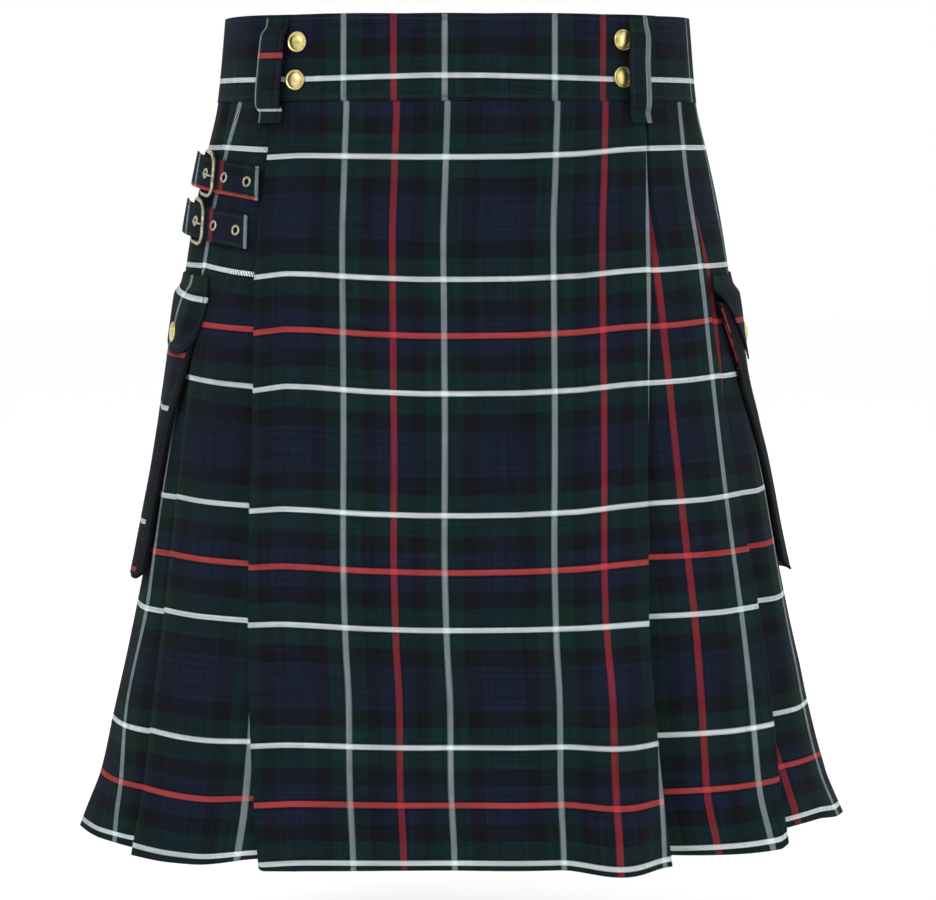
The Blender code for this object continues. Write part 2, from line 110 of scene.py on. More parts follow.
# The body surface, kept as tables over each millimetre of drop and of s.
levelCount, roundCount = 641, 861
surface = {key: np.zeros((levelCount, roundCount)) for key in ("x", "y", "nx", "ny")}
halfGirths = np.zeros(levelCount)
turn = np.linspace(0.0, pi, 2401)
for level in range(levelCount):
    half, front, back, wide, flat = (read(bodyShape, key, level)
                                     for key in ("half", "front", "back", "wide", "flat"))
    ahead = np.cos(turn)
    reach = np.where(ahead > 0, front + wide, back - wide)
    power = 2.0 / np.where(ahead > 0, flat, bodyShape["backRound"])
    ringX = half * np.abs(np.sin(turn)) ** power
    ringY = wide - reach * np.sign(ahead) * np.abs(ahead) ** power
    arc = np.concatenate([[0.0], np.cumsum(np.hypot(np.diff(ringX), np.diff(ringY)))])
    halfGirths[level] = arc[-1]
    at = np.arange(roundCount, dtype=float)
    over = at > arc[-1]                      # past the centre back the other half comes round
    folded = np.where(over, 2 * arc[-1] - at, at)
    x, y = np.interp(folded, arc, ringX), np.interp(folded, arc, ringY)
    x = np.where(over, -x, x)
    dx, dy = np.gradient(x), np.gradient(y)
    size = np.hypot(dx, dy)
    surface["x"][level], surface["y"][level] = x, y
    surface["nx"][level], surface["ny"][level] = dy / size, -dx / size
print("body surface ready")


def halfGirth(drop):
    return np.interp(drop, np.arange(levelCount), halfGirths)


def hang(drop, s):
    fade = climb(drop, droop["from"], droop["over"])
    return fade ** droop["power"] * smoothRun(s, droop["s"], droop["down"])


def place(drop, s, out=0.0):        # points on the surface, in metres, for arrays of drops and distances
    drop, s, out = np.broadcast_arrays(np.asarray(drop, float), np.asarray(s, float), np.asarray(out, float))
    aside = np.where(s < 0, read(lean, "right", drop), read(lean, "left", drop))
    until = lean["until"] * halfGirth(drop)
    aside = aside * climb(np.abs(s), lean["from"], lean["over"])
    out = out + aside * climb(until - np.abs(s), 0, lean["fade"] * until)
    drop = drop + hang(drop, s)
    level = np.clip(drop, 0, levelCount - 1.001)
    low, part = level.astype(int), level - level.astype(int)
    side, far = np.where(s < 0, -1.0, 1.0), np.clip(np.abs(s), 0, roundCount - 1.001)
    cell, share = far.astype(int), far - far.astype(int)
    got = {}
    for key, table in surface.items():
        upper = table[low, cell] * (1 - share) + table[low, cell + 1] * share
        lower = table[low + 1, cell] * (1 - share) + table[low + 1, cell + 1] * share
        got[key] = upper * (1 - part) + lower * part
    return np.stack([side * (got["x"] + out * got["nx"]) * mm, (got["y"] + out * got["ny"]) * mm,
                     (originDrop - drop) * mm], axis=-1)


def sideOf(drop):                   # how far round the widest place is
    return np.interp(drop, np.arange(levelCount), np.argmax(surface["x"], axis=1).astype(float))


def spotFrame(drop, s, out=0.0):    # X runs round to the left, Y up the cloth, Z outwards
    here = Vector(place(drop, s, out))
    along = (Vector(place(drop, s + 1.0, out)) - Vector(place(drop, s - 1.0, out))).normalized()
    up = (Vector(place(drop - 1.0, s, out)) - Vector(place(drop + 1.0, s, out))).normalized()
    outward = along.cross(up).normalized()
    return Matrix.Translation(here) @ Matrix((along, outward.cross(along), outward)).transposed().to_4x4()


def wave(at, length, phase=0.0):
    return np.sin(2 * pi * (np.asarray(at, float) / length + phase))


# Materials.

whiteLine, blueMiddle = 40.2, 84.0      # places in the check, from the middle of a red line
tartan = {
    "thread": 0.50,             # from one thread to the next
    "bands": (                  # colour and where it starts, from the middle of the red line
        ("red", 0.0), ("black", 2.4), ("blue", 3.6), ("black", 13.5), ("green", 25.0), ("black", 37.2),
        ("white", 38.0), ("black", 42.4), ("green", 43.2), ("black", 54.8), ("blue", 67.3), ("dusk", 71.2),
        ("blue", 73.0), ("dusk", 76.4), ("blue", 78.2)),
    "weftLine": 0.82,           # red and white lines are narrower down the cloth than across it
    "dark": {"black": (0.0048, 0.0054, 0.0070), "blue": (0.0062, 0.0094, 0.0200),
             "dusk": (0.0055, 0.0076, 0.0145), "green": (0.0046, 0.0155, 0.0128)},
    "warp": {"red": (0.28, 0.025, 0.036), "white": (0.33, 0.39, 0.41)},
    "weft": {"red": (0.40, 0.05, 0.055), "white": (0.645, 0.71, 0.73)},
    "cover": 2.4,               # threads in four where the weft lies on top
    "roughness": 0.92, "fuzz": 0.02, "fuzzTint": (0.55, 0.62, 0.66, 1.0), "threadHeight": 0.10,
    "patches": 14.0, "patchShare": 0.30, "fibres": 900.0, "fibreShare": 0.70,
    "streaks": 620.0, "streakLength": 0.025, "streak": 0.9,
    "stitchHalf": 0.42, "stitchPitch": 3.0, "stitchShare": 0.74, "stitchColour": (0.016, 0.020, 0.024),
    "stitchHigh": 2.2, "grooveHalf": 1.6, "grooveDeep": 2.5,        # heights in threads
}


def setInputs(node, **values):
    for name, value in values.items():
        node.inputs[name.replace("_", " ")].default_value = value


def newMaterial(name, roughness, metallic=0.0):
    made = bpy.data.materials.new(name)
    made.use_nodes = True
    shader = made.node_tree.nodes["Principled BSDF"]
    setInputs(shader, Roughness=roughness, Metallic=metallic)
    return made, made.node_tree, shader


def mathNode(tree, operation, *values):
    node = tree.nodes.new("ShaderNodeMath")
    node.operation = operation
    for socket, value in zip(node.inputs, values):
        if isinstance(value, (int, float)):
            socket.default_value = value
        else:
            tree.links.new(value, socket)
    return node.outputs[0]


def mixColour(tree, factor, a, b, blend="MIX"):
    node = tree.nodes.new("ShaderNodeMix")
    node.data_type = "RGBA"
    node.blend_type = blend
    for socket, value in ((node.inputs[0], factor), (node.inputs[6], a), (node.inputs[7], b)):
        if isinstance(value, (int, float)):
            socket.default_value = value
        elif isinstance(value, tuple):
            socket.default_value = (*value, 1.0)
        else:
            tree.links.new(value, socket)
    return node.outputs[2]


def noiseNode(tree, scale, detail=2.0, vector=None):
    node = tree.nodes.new("ShaderNodeTexNoise")
    setInputs(node, Scale=scale, Detail=detail)
    if vector is None:
        vector = tree.nodes.new("ShaderNodeTexCoord").outputs["Object"]
    tree.links.new(vector, node.inputs["Vector"])
    return node.outputs["Fac"]


def mapSplit(tree, name):
    layer = tree.nodes.new("ShaderNodeUVMap")
    layer.uv_map = name
    parts = tree.nodes.new("ShaderNodeSeparateXYZ")
    tree.links.new(layer.outputs[0], parts.inputs[0])
    return layer.outputs[0], parts.outputs[0], parts.outputs[1]


def bandStarts(thin):               # the lines keep their middles, and their edges draw in
    middles = {"red": 0.0, "white": whiteLine}
    starts = []
    for k, (colour, start) in enumerate(tartan["bands"]):
        if thin and colour in middles:
            start = middles[colour] + tartan["weftLine"] * (start - middles[colour])
        elif thin and k and tartan["bands"][k - 1][0] in middles:
            middle = middles[tartan["bands"][k - 1][0]]
            start = middle + tartan["weftLine"] * (start - middle)
        starts.append((colour, start))
    return starts


def bandRamp(tree, coordinate, thin):
    folded = mathNode(tree, "PINGPONG", coordinate, blueMiddle * mm)
    share = mathNode(tree, "DIVIDE", folded, blueMiddle * mm)
    ramp = tree.nodes.new("ShaderNodeValToRGB")
    ramp.color_ramp.interpolation = "CONSTANT"
    stops = ramp.color_ramp.elements
    while len(stops) < len(tartan["bands"]):
        stops.new(0.5)
    colours = {**tartan["dark"], **tartan["weft" if thin else "warp"]}
    for stop, (colour, start) in zip(stops, bandStarts(thin)):
        stop.position = start / blueMiddle
    for stop, (colour, start) in zip(stops, tartan["bands"]):
        stop.color = (*colours[colour], 1.0)
    tree.links.new(share, ramp.inputs[0])
    return ramp.outputs[0]


def addBump(tree, shader, height, strength, distance):
    bump = tree.nodes.new("ShaderNodeBump")
    setInputs(bump, Strength=strength, Distance=distance * mm)
    tree.links.new(height, bump.inputs["Height"])
    tree.links.new(bump.outputs[0], shader.inputs["Normal"])


def tartanCloth(name, shade=1.0):   # twill checks from the "weave" map, with stitches from the "stitch" map
    made, tree, shader = newMaterial(name, tartan["roughness"])
    calc = partial(mathNode, tree)
    weave, across, down = mapSplit(tree, "weave")
    warp, weft = bandRamp(tree, across, False), bandRamp(tree, down, True)
    pitch = tartan["thread"] * mm
    warpCount, weftCount = calc("DIVIDE", across, pitch), calc("DIVIDE", down, pitch)
    stair = calc("ADD", calc("FLOOR", warpCount), weftCount)
    over = calc("LESS_THAN", calc("FLOORED_MODULO", stair, 4.0), tartan["cover"])
    cloth = mixColour(tree, over, warp, weft)
    # soft unevenness of the dye and of the light on loose fibres
    patches = calc("MULTIPLY", noiseNode(tree, tartan["patches"], 3.0), tartan["patchShare"])
    fibres = calc("MULTIPLY", noiseNode(tree, tartan["fibres"], 2.0, weave), tartan["fibreShare"])
    level = calc("ADD", patches, fibres)
    # single threads a little paler or darker than the rest, along the warp and along the weft
    slowAcross, slowDown = (calc("MULTIPLY", way, tartan["streakLength"]) for way in (across, down))
    for x, y in ((across, slowDown), (slowAcross, down)):
        line = tree.nodes.new("ShaderNodeCombineXYZ")
        tree.links.new(x, line.inputs[0])
        tree.links.new(y, line.inputs[1])
        streak = calc("SUBTRACT", noiseNode(tree, tartan["streaks"], 1.0, line.outputs[0]), 0.5)
        level = calc("ADD", level, calc("MULTIPLY", streak, tartan["streak"]))
    # shade scales the cloth's brightness: a value under 1 paints shade into the colour, for a darker copy of
    # the same cloth
    level = calc("MULTIPLY", calc("ADD", level, 0.5), shade)
    grey = tree.nodes.new("ShaderNodeCombineColor")
    for socket in grey.inputs:
        tree.links.new(level, socket)
    cloth = mixColour(tree, 1.0, cloth, grey.outputs[0], "MULTIPLY")
    # stitching
    stitch, run, away = mapSplit(tree, "stitch")
    apart = calc("ABSOLUTE", away)
    onLine = calc("LESS_THAN", apart, tartan["stitchHalf"] * mm)
    dash = calc("FRACT", calc("DIVIDE", run, tartan["stitchPitch"] * mm))
    thread = calc("MULTIPLY", onLine, calc("LESS_THAN", dash, tartan["stitchShare"]))
    cloth = mixColour(tree, thread, cloth, tartan["stitchColour"])
    tree.links.new(cloth, shader.inputs["Base Color"])
    # thread relief
    warpRound, weftRound = (calc("ABSOLUTE", calc("SINE", calc("MULTIPLY", count, pi)))
                            for count in (warpCount, weftCount))
    under = calc("SUBTRACT", 1.0, over)
    relief = calc("ADD", calc("MULTIPLY", weftRound, over), calc("MULTIPLY", warpRound, under))
    relief = calc("ADD", relief, calc("MULTIPLY", thread, tartan["stitchHigh"]))
    groove = calc("SUBTRACT", 1.0, calc("MINIMUM", calc("DIVIDE", apart, tartan["grooveHalf"] * mm), 1.0))
    relief = calc("SUBTRACT", relief, calc("MULTIPLY", groove, tartan["grooveDeep"]))
    addBump(tree, shader, relief, 0.55, tartan["threadHeight"])
    setInputs(shader, Sheen_Weight=tartan["fuzz"], Sheen_Roughness=0.55, Sheen_Tint=tartan["fuzzTint"],
              Specular_IOR_Level=0.05)
    return made


brass = {"base": (0.72, 0.61, 0.28), "shade": (0.40, 0.31, 0.09), "roughness": 0.33, "cell": 240.0}
oldBrass = {"base": (0.50, 0.46, 0.34), "shade": (0.16, 0.13, 0.07), "roughness": 0.36, "cell": 420.0}


def metalFinish(name, finish):      # bright where it is rubbed, darker in patches
    made, tree, shader = newMaterial(name, finish["roughness"], 1.0)
    wear = noiseNode(tree, finish["cell"], 4.0)
    ramp = tree.nodes.new("ShaderNodeValToRGB")
    for stop, position, tone in zip(ramp.color_ramp.elements, (0.30, 0.62), ("shade", "base")):
        stop.position, stop.color = position, (*finish[tone], 1.0)
    tree.links.new(wear, ramp.inputs[0])
    tree.links.new(ramp.outputs[0], shader.inputs["Base Color"])
    rough = mathNode(tree, "ADD", mathNode(tree, "MULTIPLY", wear, -0.20), finish["roughness"] + 0.12)
    tree.links.new(rough, shader.inputs["Roughness"])
    addBump(tree, shader, noiseNode(tree, 2600.0, 2.0), 0.25, 0.05)
    return made


outerCloth = tartanCloth("tartanTwill")
# the same cloth painted 8% darker as shade, for the under-apron, the pocket bags and the buckle tabs that sit
# behind or under other parts
innerClothPaintedShade = tartanCloth("tartanTwillInnerShaded", 0.92)
capBrass = metalFinish("polishedBrass", brass)
agedBrass = metalFinish("agedBrass", oldBrass)
print("materials ready")


# Cloth sheets.

# tartan_inner is the same check with painted shade
clothLooks = {"tartan": outerCloth, "tartan_inner": innerClothPaintedShade}


def linkPiece(name, data):
    piece = bpy.data.objects.new(name, data)
    bpy.context.scene.collection.objects.link(piece)
    return piece


def applyModifier(piece, kind, **settings):
    bpy.ops.object.select_all(action="DESELECT")
    bpy.context.view_layer.objects.active = piece
    piece.select_set(True)
    modifier = piece.modifiers.new("shaping", kind)
    for key, value in settings.items():
        setattr(modifier, key, value)
    bpy.ops.object.modifier_apply(modifier="shaping")


def clothSheet(name, points, weaveMap, wall, slotName, stitchMap=None, openFaces=()):
    rows, columns = points.shape[:2]        # rows run down, columns to the wearer's left
    index = np.arange(rows * columns).reshape(rows, columns)
    faces = np.stack([index[:-1, 1:], index[:-1, :-1], index[1:, :-1], index[1:, 1:]], axis=-1)
    kept = np.ones(faces.shape[:2], bool)
    for row, column in openFaces:
        kept[row, column] = False
    faces = faces[kept]
    mesh = bpy.data.meshes.new(name)
    mesh.from_pydata(points.reshape(-1, 3).tolist(), [], faces.tolist())
    if stitchMap is None:
        stitchMap = np.ones((rows, columns, 2))
    corners = faces.reshape(-1)
    for layer, values in (("weave", weaveMap), ("stitch", stitchMap)):
        made = mesh.uv_layers.new(name=layer)
        made.data.foreach_set("uv", values.reshape(-1, 2)[corners].astype(np.float32).ravel())
    mesh.shade_smooth()
    mesh.materials.append(clothLooks[slotName])
    piece = linkPiece(name, mesh)
    applyModifier(piece, "SOLIDIFY", thickness=wall * mm, offset=0.0, use_even_offset=True)
    piece.data.set_sharp_from_angle(angle=radians(50))
    return piece


def edgeStitch(rows, columns, width, length, inset, sides="tblr"):   # a stitch line inside a sheet's edges
    across, down = np.meshgrid(np.linspace(0, width, columns), np.linspace(0, length, rows))
    nearest, run = np.full((rows, columns), 1000.0), across.copy()
    for side, away, along in (("t", down, across), ("b", length - down, across),
                              ("l", across, down), ("r", width - across, down)):
        if side in sides:
            run = np.where(away < nearest, along, run)
            nearest = np.minimum(away, nearest)
    return np.stack([run, nearest - inset], axis=-1) * mm


def finishPiece(piece, node):
    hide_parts(node)
    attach(piece, "root")


def finishCloth(piece, node):
    finishPiece(piece, node)


def clothPiece(name, node, slotName, held, restsOn, points, *maps, **more):
    finishCloth(clothSheet(name, points, *maps, slotName, **more), node)


# The checks' places on the cloth, each measured from the middle of a red line.

checkRows = {                       # a drop on the apron and the pleats, and the place in the check there
    "apron":  (62,   101,   188.2, 227.9, 268.6, 356.0, 396.3, 437.2, 521.8, 562.9, 604.2, 640),
    "pleats": (57.0, 94.5,  181.5, 222.0, 262.0, 350.0, 389.5, 430.0, 515.0, 555.5, 596.2, 632),
    "redAt": 228.0,
    "check":  (64,   100.2, 187.8, 228.0, 268.2, 355.8, 396.0, 436.2, 523.8, 564.0, 604.2, 640),
}


def clothRow(drop, where):
    return np.interp(drop, checkRows[where], checkRows["check"]) - checkRows["redAt"]


# Apron.

apron = {
    "drop":  (62,   100,  190,  270,  350,  435,  520,  610),
    "right": (-140, -143, -152, -152, -154, -154, -151, -144),
    "left":  (142,  142,  143,  141,  140,  140,  145,  156),
    "strip": 27.0,                  # width of the turned strip inside the right edge
    "kinkDrop": (62, 101, 188, 228, 268, 356, 396, 437, 520, 610),
    "kink":     (1.0, 1.4, 3.4, 3.6, 4.4, 3.0, 2.7, 2.4, 2.0, 1.6),
    "redDrop": (62,  113,   160, 210,   311,   376,   447,   491,   548,   591,   610),
    "redAt":   (-42.8, -44.5, -46, -45.6, -44.9, -45.2, -43.5, -41.2, -40.6, -38.5, -37.8),
    "scale": 0.899,                 # width of the check round the body, as a share of its height
    "fluteAt": 115.0, "fluteReach": 42.0, "fluteHigh": 27.0, "fluteStart": 430.0, "flutePower": 0.8,
    "play": 0.5, "playWide": 91, "playLong": 330, "swing": 0.9, "swingWide": 118, "calm": 60,
    "columns": 107, "stripColumns": 12, "rows": 150, "stripBack": 1.5, "ridge": 0.5, "ridgeWide": 2.2,
    "cornerWide": 4.0, "cornerFrom": 604, "cornerOver": 6, "cornerUp": 2.0,
    "rise": ((-125, -104, -65, -26, 10, 45, 89, 120, 140), (3.4, 3.2, 1.2, 0, 0, 0.4, 2.2, 5, 6)),
    "riseRight": ((62, 101, 188, 268, 356, 437, 520, 610), (0, 0.25, 1, 1.2, 0.85, 0.7, 0.3, 0.2)),
    "riseLeft": ((62, 101, 356, 396, 437, 520, 610), (0.9, 1, 1, 0.8, 0.35, 0.1, 0)),
}
lapFell, lapHem = 40.0, 34.0        # hidden return of each pleat, stitched and at the hem
pleatSides = {
    "right": {"sign": -1.0, "fold": (0.305, 0.475, 0.65, 0.82, 0.985), "step": (9.0, 25, 26, 26, 26, 26, 26)},
    "left":  {"sign": 1.0, "fold": (0.335, 0.50, 0.665, 0.83, 0.985), "step": (31.0, 28, 26, 26, 26, 26, 26)},
}
firstFold = {
    "drop":  (62,   120,   180,   265,   350,   437,   520,   565,   610),
    "right": (0.140, 0.140, 0.139, 0.158, 0.161, 0.160, 0.161, 0.163, 0.165),
    "left":  (0.13, 0.118, 0.133, 0.165, 0.190, 0.201, 0.187, 0.172, 0.155),
}


def apronEdge(drop, side):
    return read(apron, side, drop)


def lieOpen(drop):
    return climb(drop, fellDrop, hemDrop - fellDrop)


def spread(atFell, atHem, drop):
    return atFell + (atHem - atFell) * lieOpen(drop)


def apronOut(drop, s):              # the soft wave that grows towards the hem, and the cloth's own play
    along = climb(np.abs(s - apron["fluteAt"]), 0, apron["fluteReach"])
    down = climb(drop, apron["fluteStart"], hemDrop - apron["fluteStart"])
    flute = apron["fluteHigh"] * down ** apron["flutePower"] * (0.5 + 0.5 * np.cos(pi * along))
    play = apron["play"] * wave(s, apron["playWide"], 0.2) * wave(drop, apron["playLong"], 0.1)
    play = play + apron["swing"] * down * wave(s + 0.1 * drop, apron["swingWide"], 0.35)
    return flute + play * climb(drop, clothTop, apron["calm"])


dropColumn = downRun(clothTop, hemDrop, apron["rows"])
leftEdge, rightEdge = apronEdge(dropColumn, "left"), apronEdge(dropColumn, "right")
nip = foldGap / 2
crease = rightEdge + apron["strip"]
s = np.hstack([rightEdge + acrossRun(0, 1, apron["stripColumns"]) * apron["strip"],
               crease + np.linspace(0, 1, apron["columns"])[None, 1:] * (leftEdge - nip - crease)])
drop = np.broadcast_to(dropColumn, s.shape)
out = apronOut(drop, s)
inStrip = 1 - climb(s, rightEdge, apron["strip"])       # 0 at the crease, 1 at the free edge
ridge = apron["ridge"] * np.exp(-((s - rightEdge - apron["strip"]) / apron["ridgeWide"]) ** 2)
out = out - apron["stripBack"] * inStrip + ridge
lap = spread(lapFell, lapHem, dropColumn)
stepIn = spread(2 * foldGap, pleatSides["left"]["step"][0], dropColumn)
turnIn = []                         # the fold at the left edge and the return behind it
edgeOut = out[:, -1:]
for angle in np.linspace(0.25, 1.0, 4) * pi:
    settle = 0.5 + 0.5 * np.cos(angle)
    turnIn.append((leftEdge - nip + nip * np.sin(angle), edgeOut * settle - nip + nip * np.cos(angle)))
for part in (0.12, 0.3, 0.5, 0.75, 1.0):
    turnIn.append((leftEdge - nip - part * (lap - 2 * nip), -foldGap - part * (stepIn - 2 * foldGap)))
foldS, foldOut = np.hstack([a for a, b in turnIn]), np.hstack([b for a, b in turnIn])
allS, allOut = np.hstack([s, foldS]), np.hstack([out, foldOut])
allDrop = np.broadcast_to(dropColumn, allS.shape)
level = np.where(allS > 0, hang(allDrop, allS), 0.0)        # only the crossed edge sags
corner = (1 - climb(allS, rightEdge, apron["cornerWide"])) ** 2
corner = corner * climb(allDrop, apron["cornerFrom"], apron["cornerOver"]) ** 2
apronPoints = place(allDrop - level - apron["cornerUp"] * corner, allS, allOut)
walked = np.hypot(np.diff(foldS, axis=1, prepend=s[:, -1:]), np.diff(foldOut, axis=1, prepend=edgeOut))
cutS = np.hstack([s, s[:, -1:] + np.cumsum(walked, axis=1)])    # as the cloth lies unfolded
redAt = smoothRun(allDrop, apron["redDrop"], apron["redAt"])
acrossCheck = (cutS - redAt) / apron["scale"]
fade = np.where(allS > 0, np.interp(allDrop, *apron["riseLeft"]), np.interp(allDrop, *apron["riseRight"]))
rise = np.interp(allS, *apron["rise"]) * fade
kink = np.interp(allDrop, apron["kinkDrop"], apron["kink"])
kinked = np.hstack([inStrip, np.zeros(foldS.shape)])
downCheck = clothRow(allDrop + rise - kink * kinked, "apron")
weave = np.stack([acrossCheck, downCheck], axis=-1) * mm
clothPiece("frontApron", "apron", "tartan", "hung", ["waistbandCloth"], apronPoints, weave, clothWall)
print("apron made")

# Under-apron.

underApron = {
    "rows": 60, "columns": 70, "short": 8.0, "start": 0.3, "past": 12.0, "turnAt": 6.0, "back": 2.6,
    "level": 10.0, "near": 0.33, "far": 0.66, "settle": 14.0, "sink": 1.0,
}
dropColumn = downRun(clothTop, hemDrop - underApron["short"], underApron["rows"])
lap = spread(lapFell, lapHem, dropColumn)
leftEdge, rightEdge = apronEdge(dropColumn, "left"), apronEdge(dropColumn, "right")
start, end = rightEdge + lap - nip + underApron["start"], leftEdge + underApron["past"]
turnAt = leftEdge - lap - underApron["turnAt"]
steps = [pleatSides[side]["step"][0] for side in ("right", "left")]
rightOut, leftOut = (-spread(2 * foldGap, step, dropColumn) for step in steps)
leftOut = leftOut - underApron["back"]
share = acrossRun(0, 1, underApron["columns"])
s = start + share * (end - start)
middle = turnAt - start
knots = [start, start + underApron["level"], start + underApron["near"] * middle,
         start + underApron["far"] * middle, turnAt - underApron["settle"], end]
outs = [rightOut, rightOut, rightOut - underApron["sink"], 0.5 * (rightOut + leftOut), leftOut, leftOut]
out = np.stack([np.interp(s[r], [float(k[r, 0]) for k in knots], [float(o[r, 0]) for o in outs])
                for r in range(len(s))])
drop = np.broadcast_to(dropColumn, s.shape)
underPoints = place(drop, s, out)
weave = np.stack([s / apron["scale"], clothRow(drop, "apron")], axis=-1) * mm
clothPiece("underApron", "under_apron", "tartan_inner", "hung", ["waistbandCloth"],
           underPoints, weave, clothWall)
print("under-apron made")

# Pleats.

pleatLook = {
    "rows": 100, "faceStep": 3.2, "length": 602.0,
    "hideIn": 0.6, "hideUp": 0.45,  # the hidden edge stands between the layers, in shares of the fold
    "flatFrom": 1.0, "faceFrom": 1.5, "centreGap": 0.15,
    "tuck": 9.0, "tuckLong": 30, "tuckFrom": 185, "tuckOver": 10,   # how far the deep layers reach up
    "tuckDeep": 2.4, "tuckDeeper": 1.2, "bulge": 2.0,
    "whiteAt": {"left": -12.0, "right": -48.0},     # the white line, before each fold, on the cloth laid flat
    "first": {                      # and on the first pleat of a side, at some drops
        "left":  {"drop": (62, 133, 180, 250, 350, 430, 515, 555, 602),
                  "at":   (-7, -6.0, -7.0, -12, -19, -21, -21, -20, -15)},
        "right": {"drop": (62,   98,   133,  180,  196, 250, 602),
                  "at":   (-115, -108, -105, -103, -95, -89, -89)}},
    "rightSecond": {                # where the second pleat's white line stands round the body
        "drop": (62,  98,  133, 180, 270, 308, 352, 394, 431, 510, 604),
        "at":   (172, 184, 195, 204, 237, 248, 257, 263, 267, 285, 282)},
    "leftSecond": {                 # and both the lines of the left one
        "drop": (62,  113, 134, 159, 180, 224, 256, 350, 430, 515, 553, 584, 602),
        "red":  (178, 188, 190, 198, 205, 214, 217, 226, 238, 256, 268, 279, 284),
        "white": (216, 226, 229, 237, 243, 258, 268, 284, 291, 309, 319, 335, 345)},
    "low": {                        # how much lower than level the check runs, at the apron and at the fold
        ("right", 0): {"drop": (62,  188,  228, 268, 356, 396, 436, 524, 564, 604),
                       "near": (0.0, 5.0,  3.4, 4.2, 2.7, 4.5, 4.5, 5.2, 3.9, 0.4),
                       "fold": (0.0, -1.2, 1.1, 0.4, 0.7, 2.8, 3.0, 2.2, 0.6, -2.0)},
        ("right", 1): {"drop": (62,  188, 356, 436, 524, 564, 604),
                       "near": (0.0, 0.0, 3.0, 6.9, 7.0, 4.7, -3.0),
                       "fold": (0.0, 0.0, 3.0, 6.5, 7.2, 5.8, -0.8)},
        ("left", 0): {"drop": (62,  188,  228,  268,  356,  396, 436, 524, 564,  604),
                      "near": (0.0, 1.6,  1.4,  1.2,  0.9,  0.0, 2.5, 2.7, 1.9,  0.7),
                      "fold": (0.0, -0.7, -2.1, -1.1, -1.1, 0.0, 1.4, 1.1, -1.2, -1.7)},
        ("left", 1): {"drop": (62,  436, 524, 564, 604),
                      "near": (0.0, 0.0, 1.3, 0.1, -0.8),
                      "fold": (0.0, 0.0, 1.3, 1.3, -2.1)},
    },
    "scale": {("left", 0): 1.06}, "usualScale": 1.13,
}


def pleatRun(side, k, drop):        # corners of one pleat's cloth at each level, and which is the fold's tip
    look = pleatSides[side]
    edge = np.abs(apronEdge(drop, side))
    room = halfGirth(drop) - edge
    folds = [edge, edge + read(firstFold, side, drop) * room]
    folds += [edge + f * room for f in look["fold"]]
    lap, lie = spread(lapFell, lapHem, drop), lieOpen(drop)
    before, fold = folds[k], folds[k + 1]
    deep, deeper = (spread(2 * foldGap, look["step"][j], drop) for j in (k, k + 1))
    slope = deep / (fold - before + lap)

    def face(at, flatOut):
        bulge = pleatLook["bulge"] * np.sin(pi * climb(at, before, fold - before)) * lie
        return flatOut * (1 - lie) + (-deep + slope * (at - before + lap)) * lie + bulge

    path = [(before - lap + pleatLook["hideIn"] * nip, -deep + pleatLook["hideUp"] * nip)]
    if side == "right" and k == 0:
        path = []
    path.append((before - lap + nip, -deep))
    path += [(at, face(at, -deep)) for at in (before - lap / 2, before + pleatLook["faceFrom"])]
    first = fold - lap - pleatLook["flatFrom"]
    for part in (0.0, 0.25, 0.5, 0.75):
        at = first + part * (fold - nip - first)
        path.append((at, face(at, 0.0)))
    for angle in np.linspace(0, 1, 5) * pi:
        if angle == pi / 2:
            tip = len(path)
        path.append((fold - nip + nip * np.sin(angle), -nip + nip * np.cos(angle)))
    path += [(fold - lap / 2, -deeper / 2), (fold - lap + nip, -deeper + foldGap)]
    if k == 5:
        path += [(fold - lap, -deeper + nip), (fold - lap + nip, -deeper), (fold - lap / 2, -deeper),
                 (halfGirth(drop) - pleatLook["centreGap"], -deeper)]
    return [(a + 0.0 * drop, b + 0.0 * drop) for a, b in path], tip, before, fold


def fillPath(path, tip, step):      # more columns along the long stretches
    columns, tipColumn = [path[0]], 0
    for k in range(1, len(path)):
        a, b = path[k - 1], path[k]
        length = float(np.mean(np.hypot(b[0] - a[0], b[1] - a[1])))
        parts = max(1, int(round(length / step)))
        for j in range(1, parts + 1):
            t = j / parts
            columns.append((a[0] + t * (b[0] - a[0]), a[1] + t * (b[1] - a[1])))
        if k == tip:
            tipColumn = len(columns) - 1
    return np.hstack([c[0] for c in columns]), np.hstack([c[1] for c in columns]), tipColumn


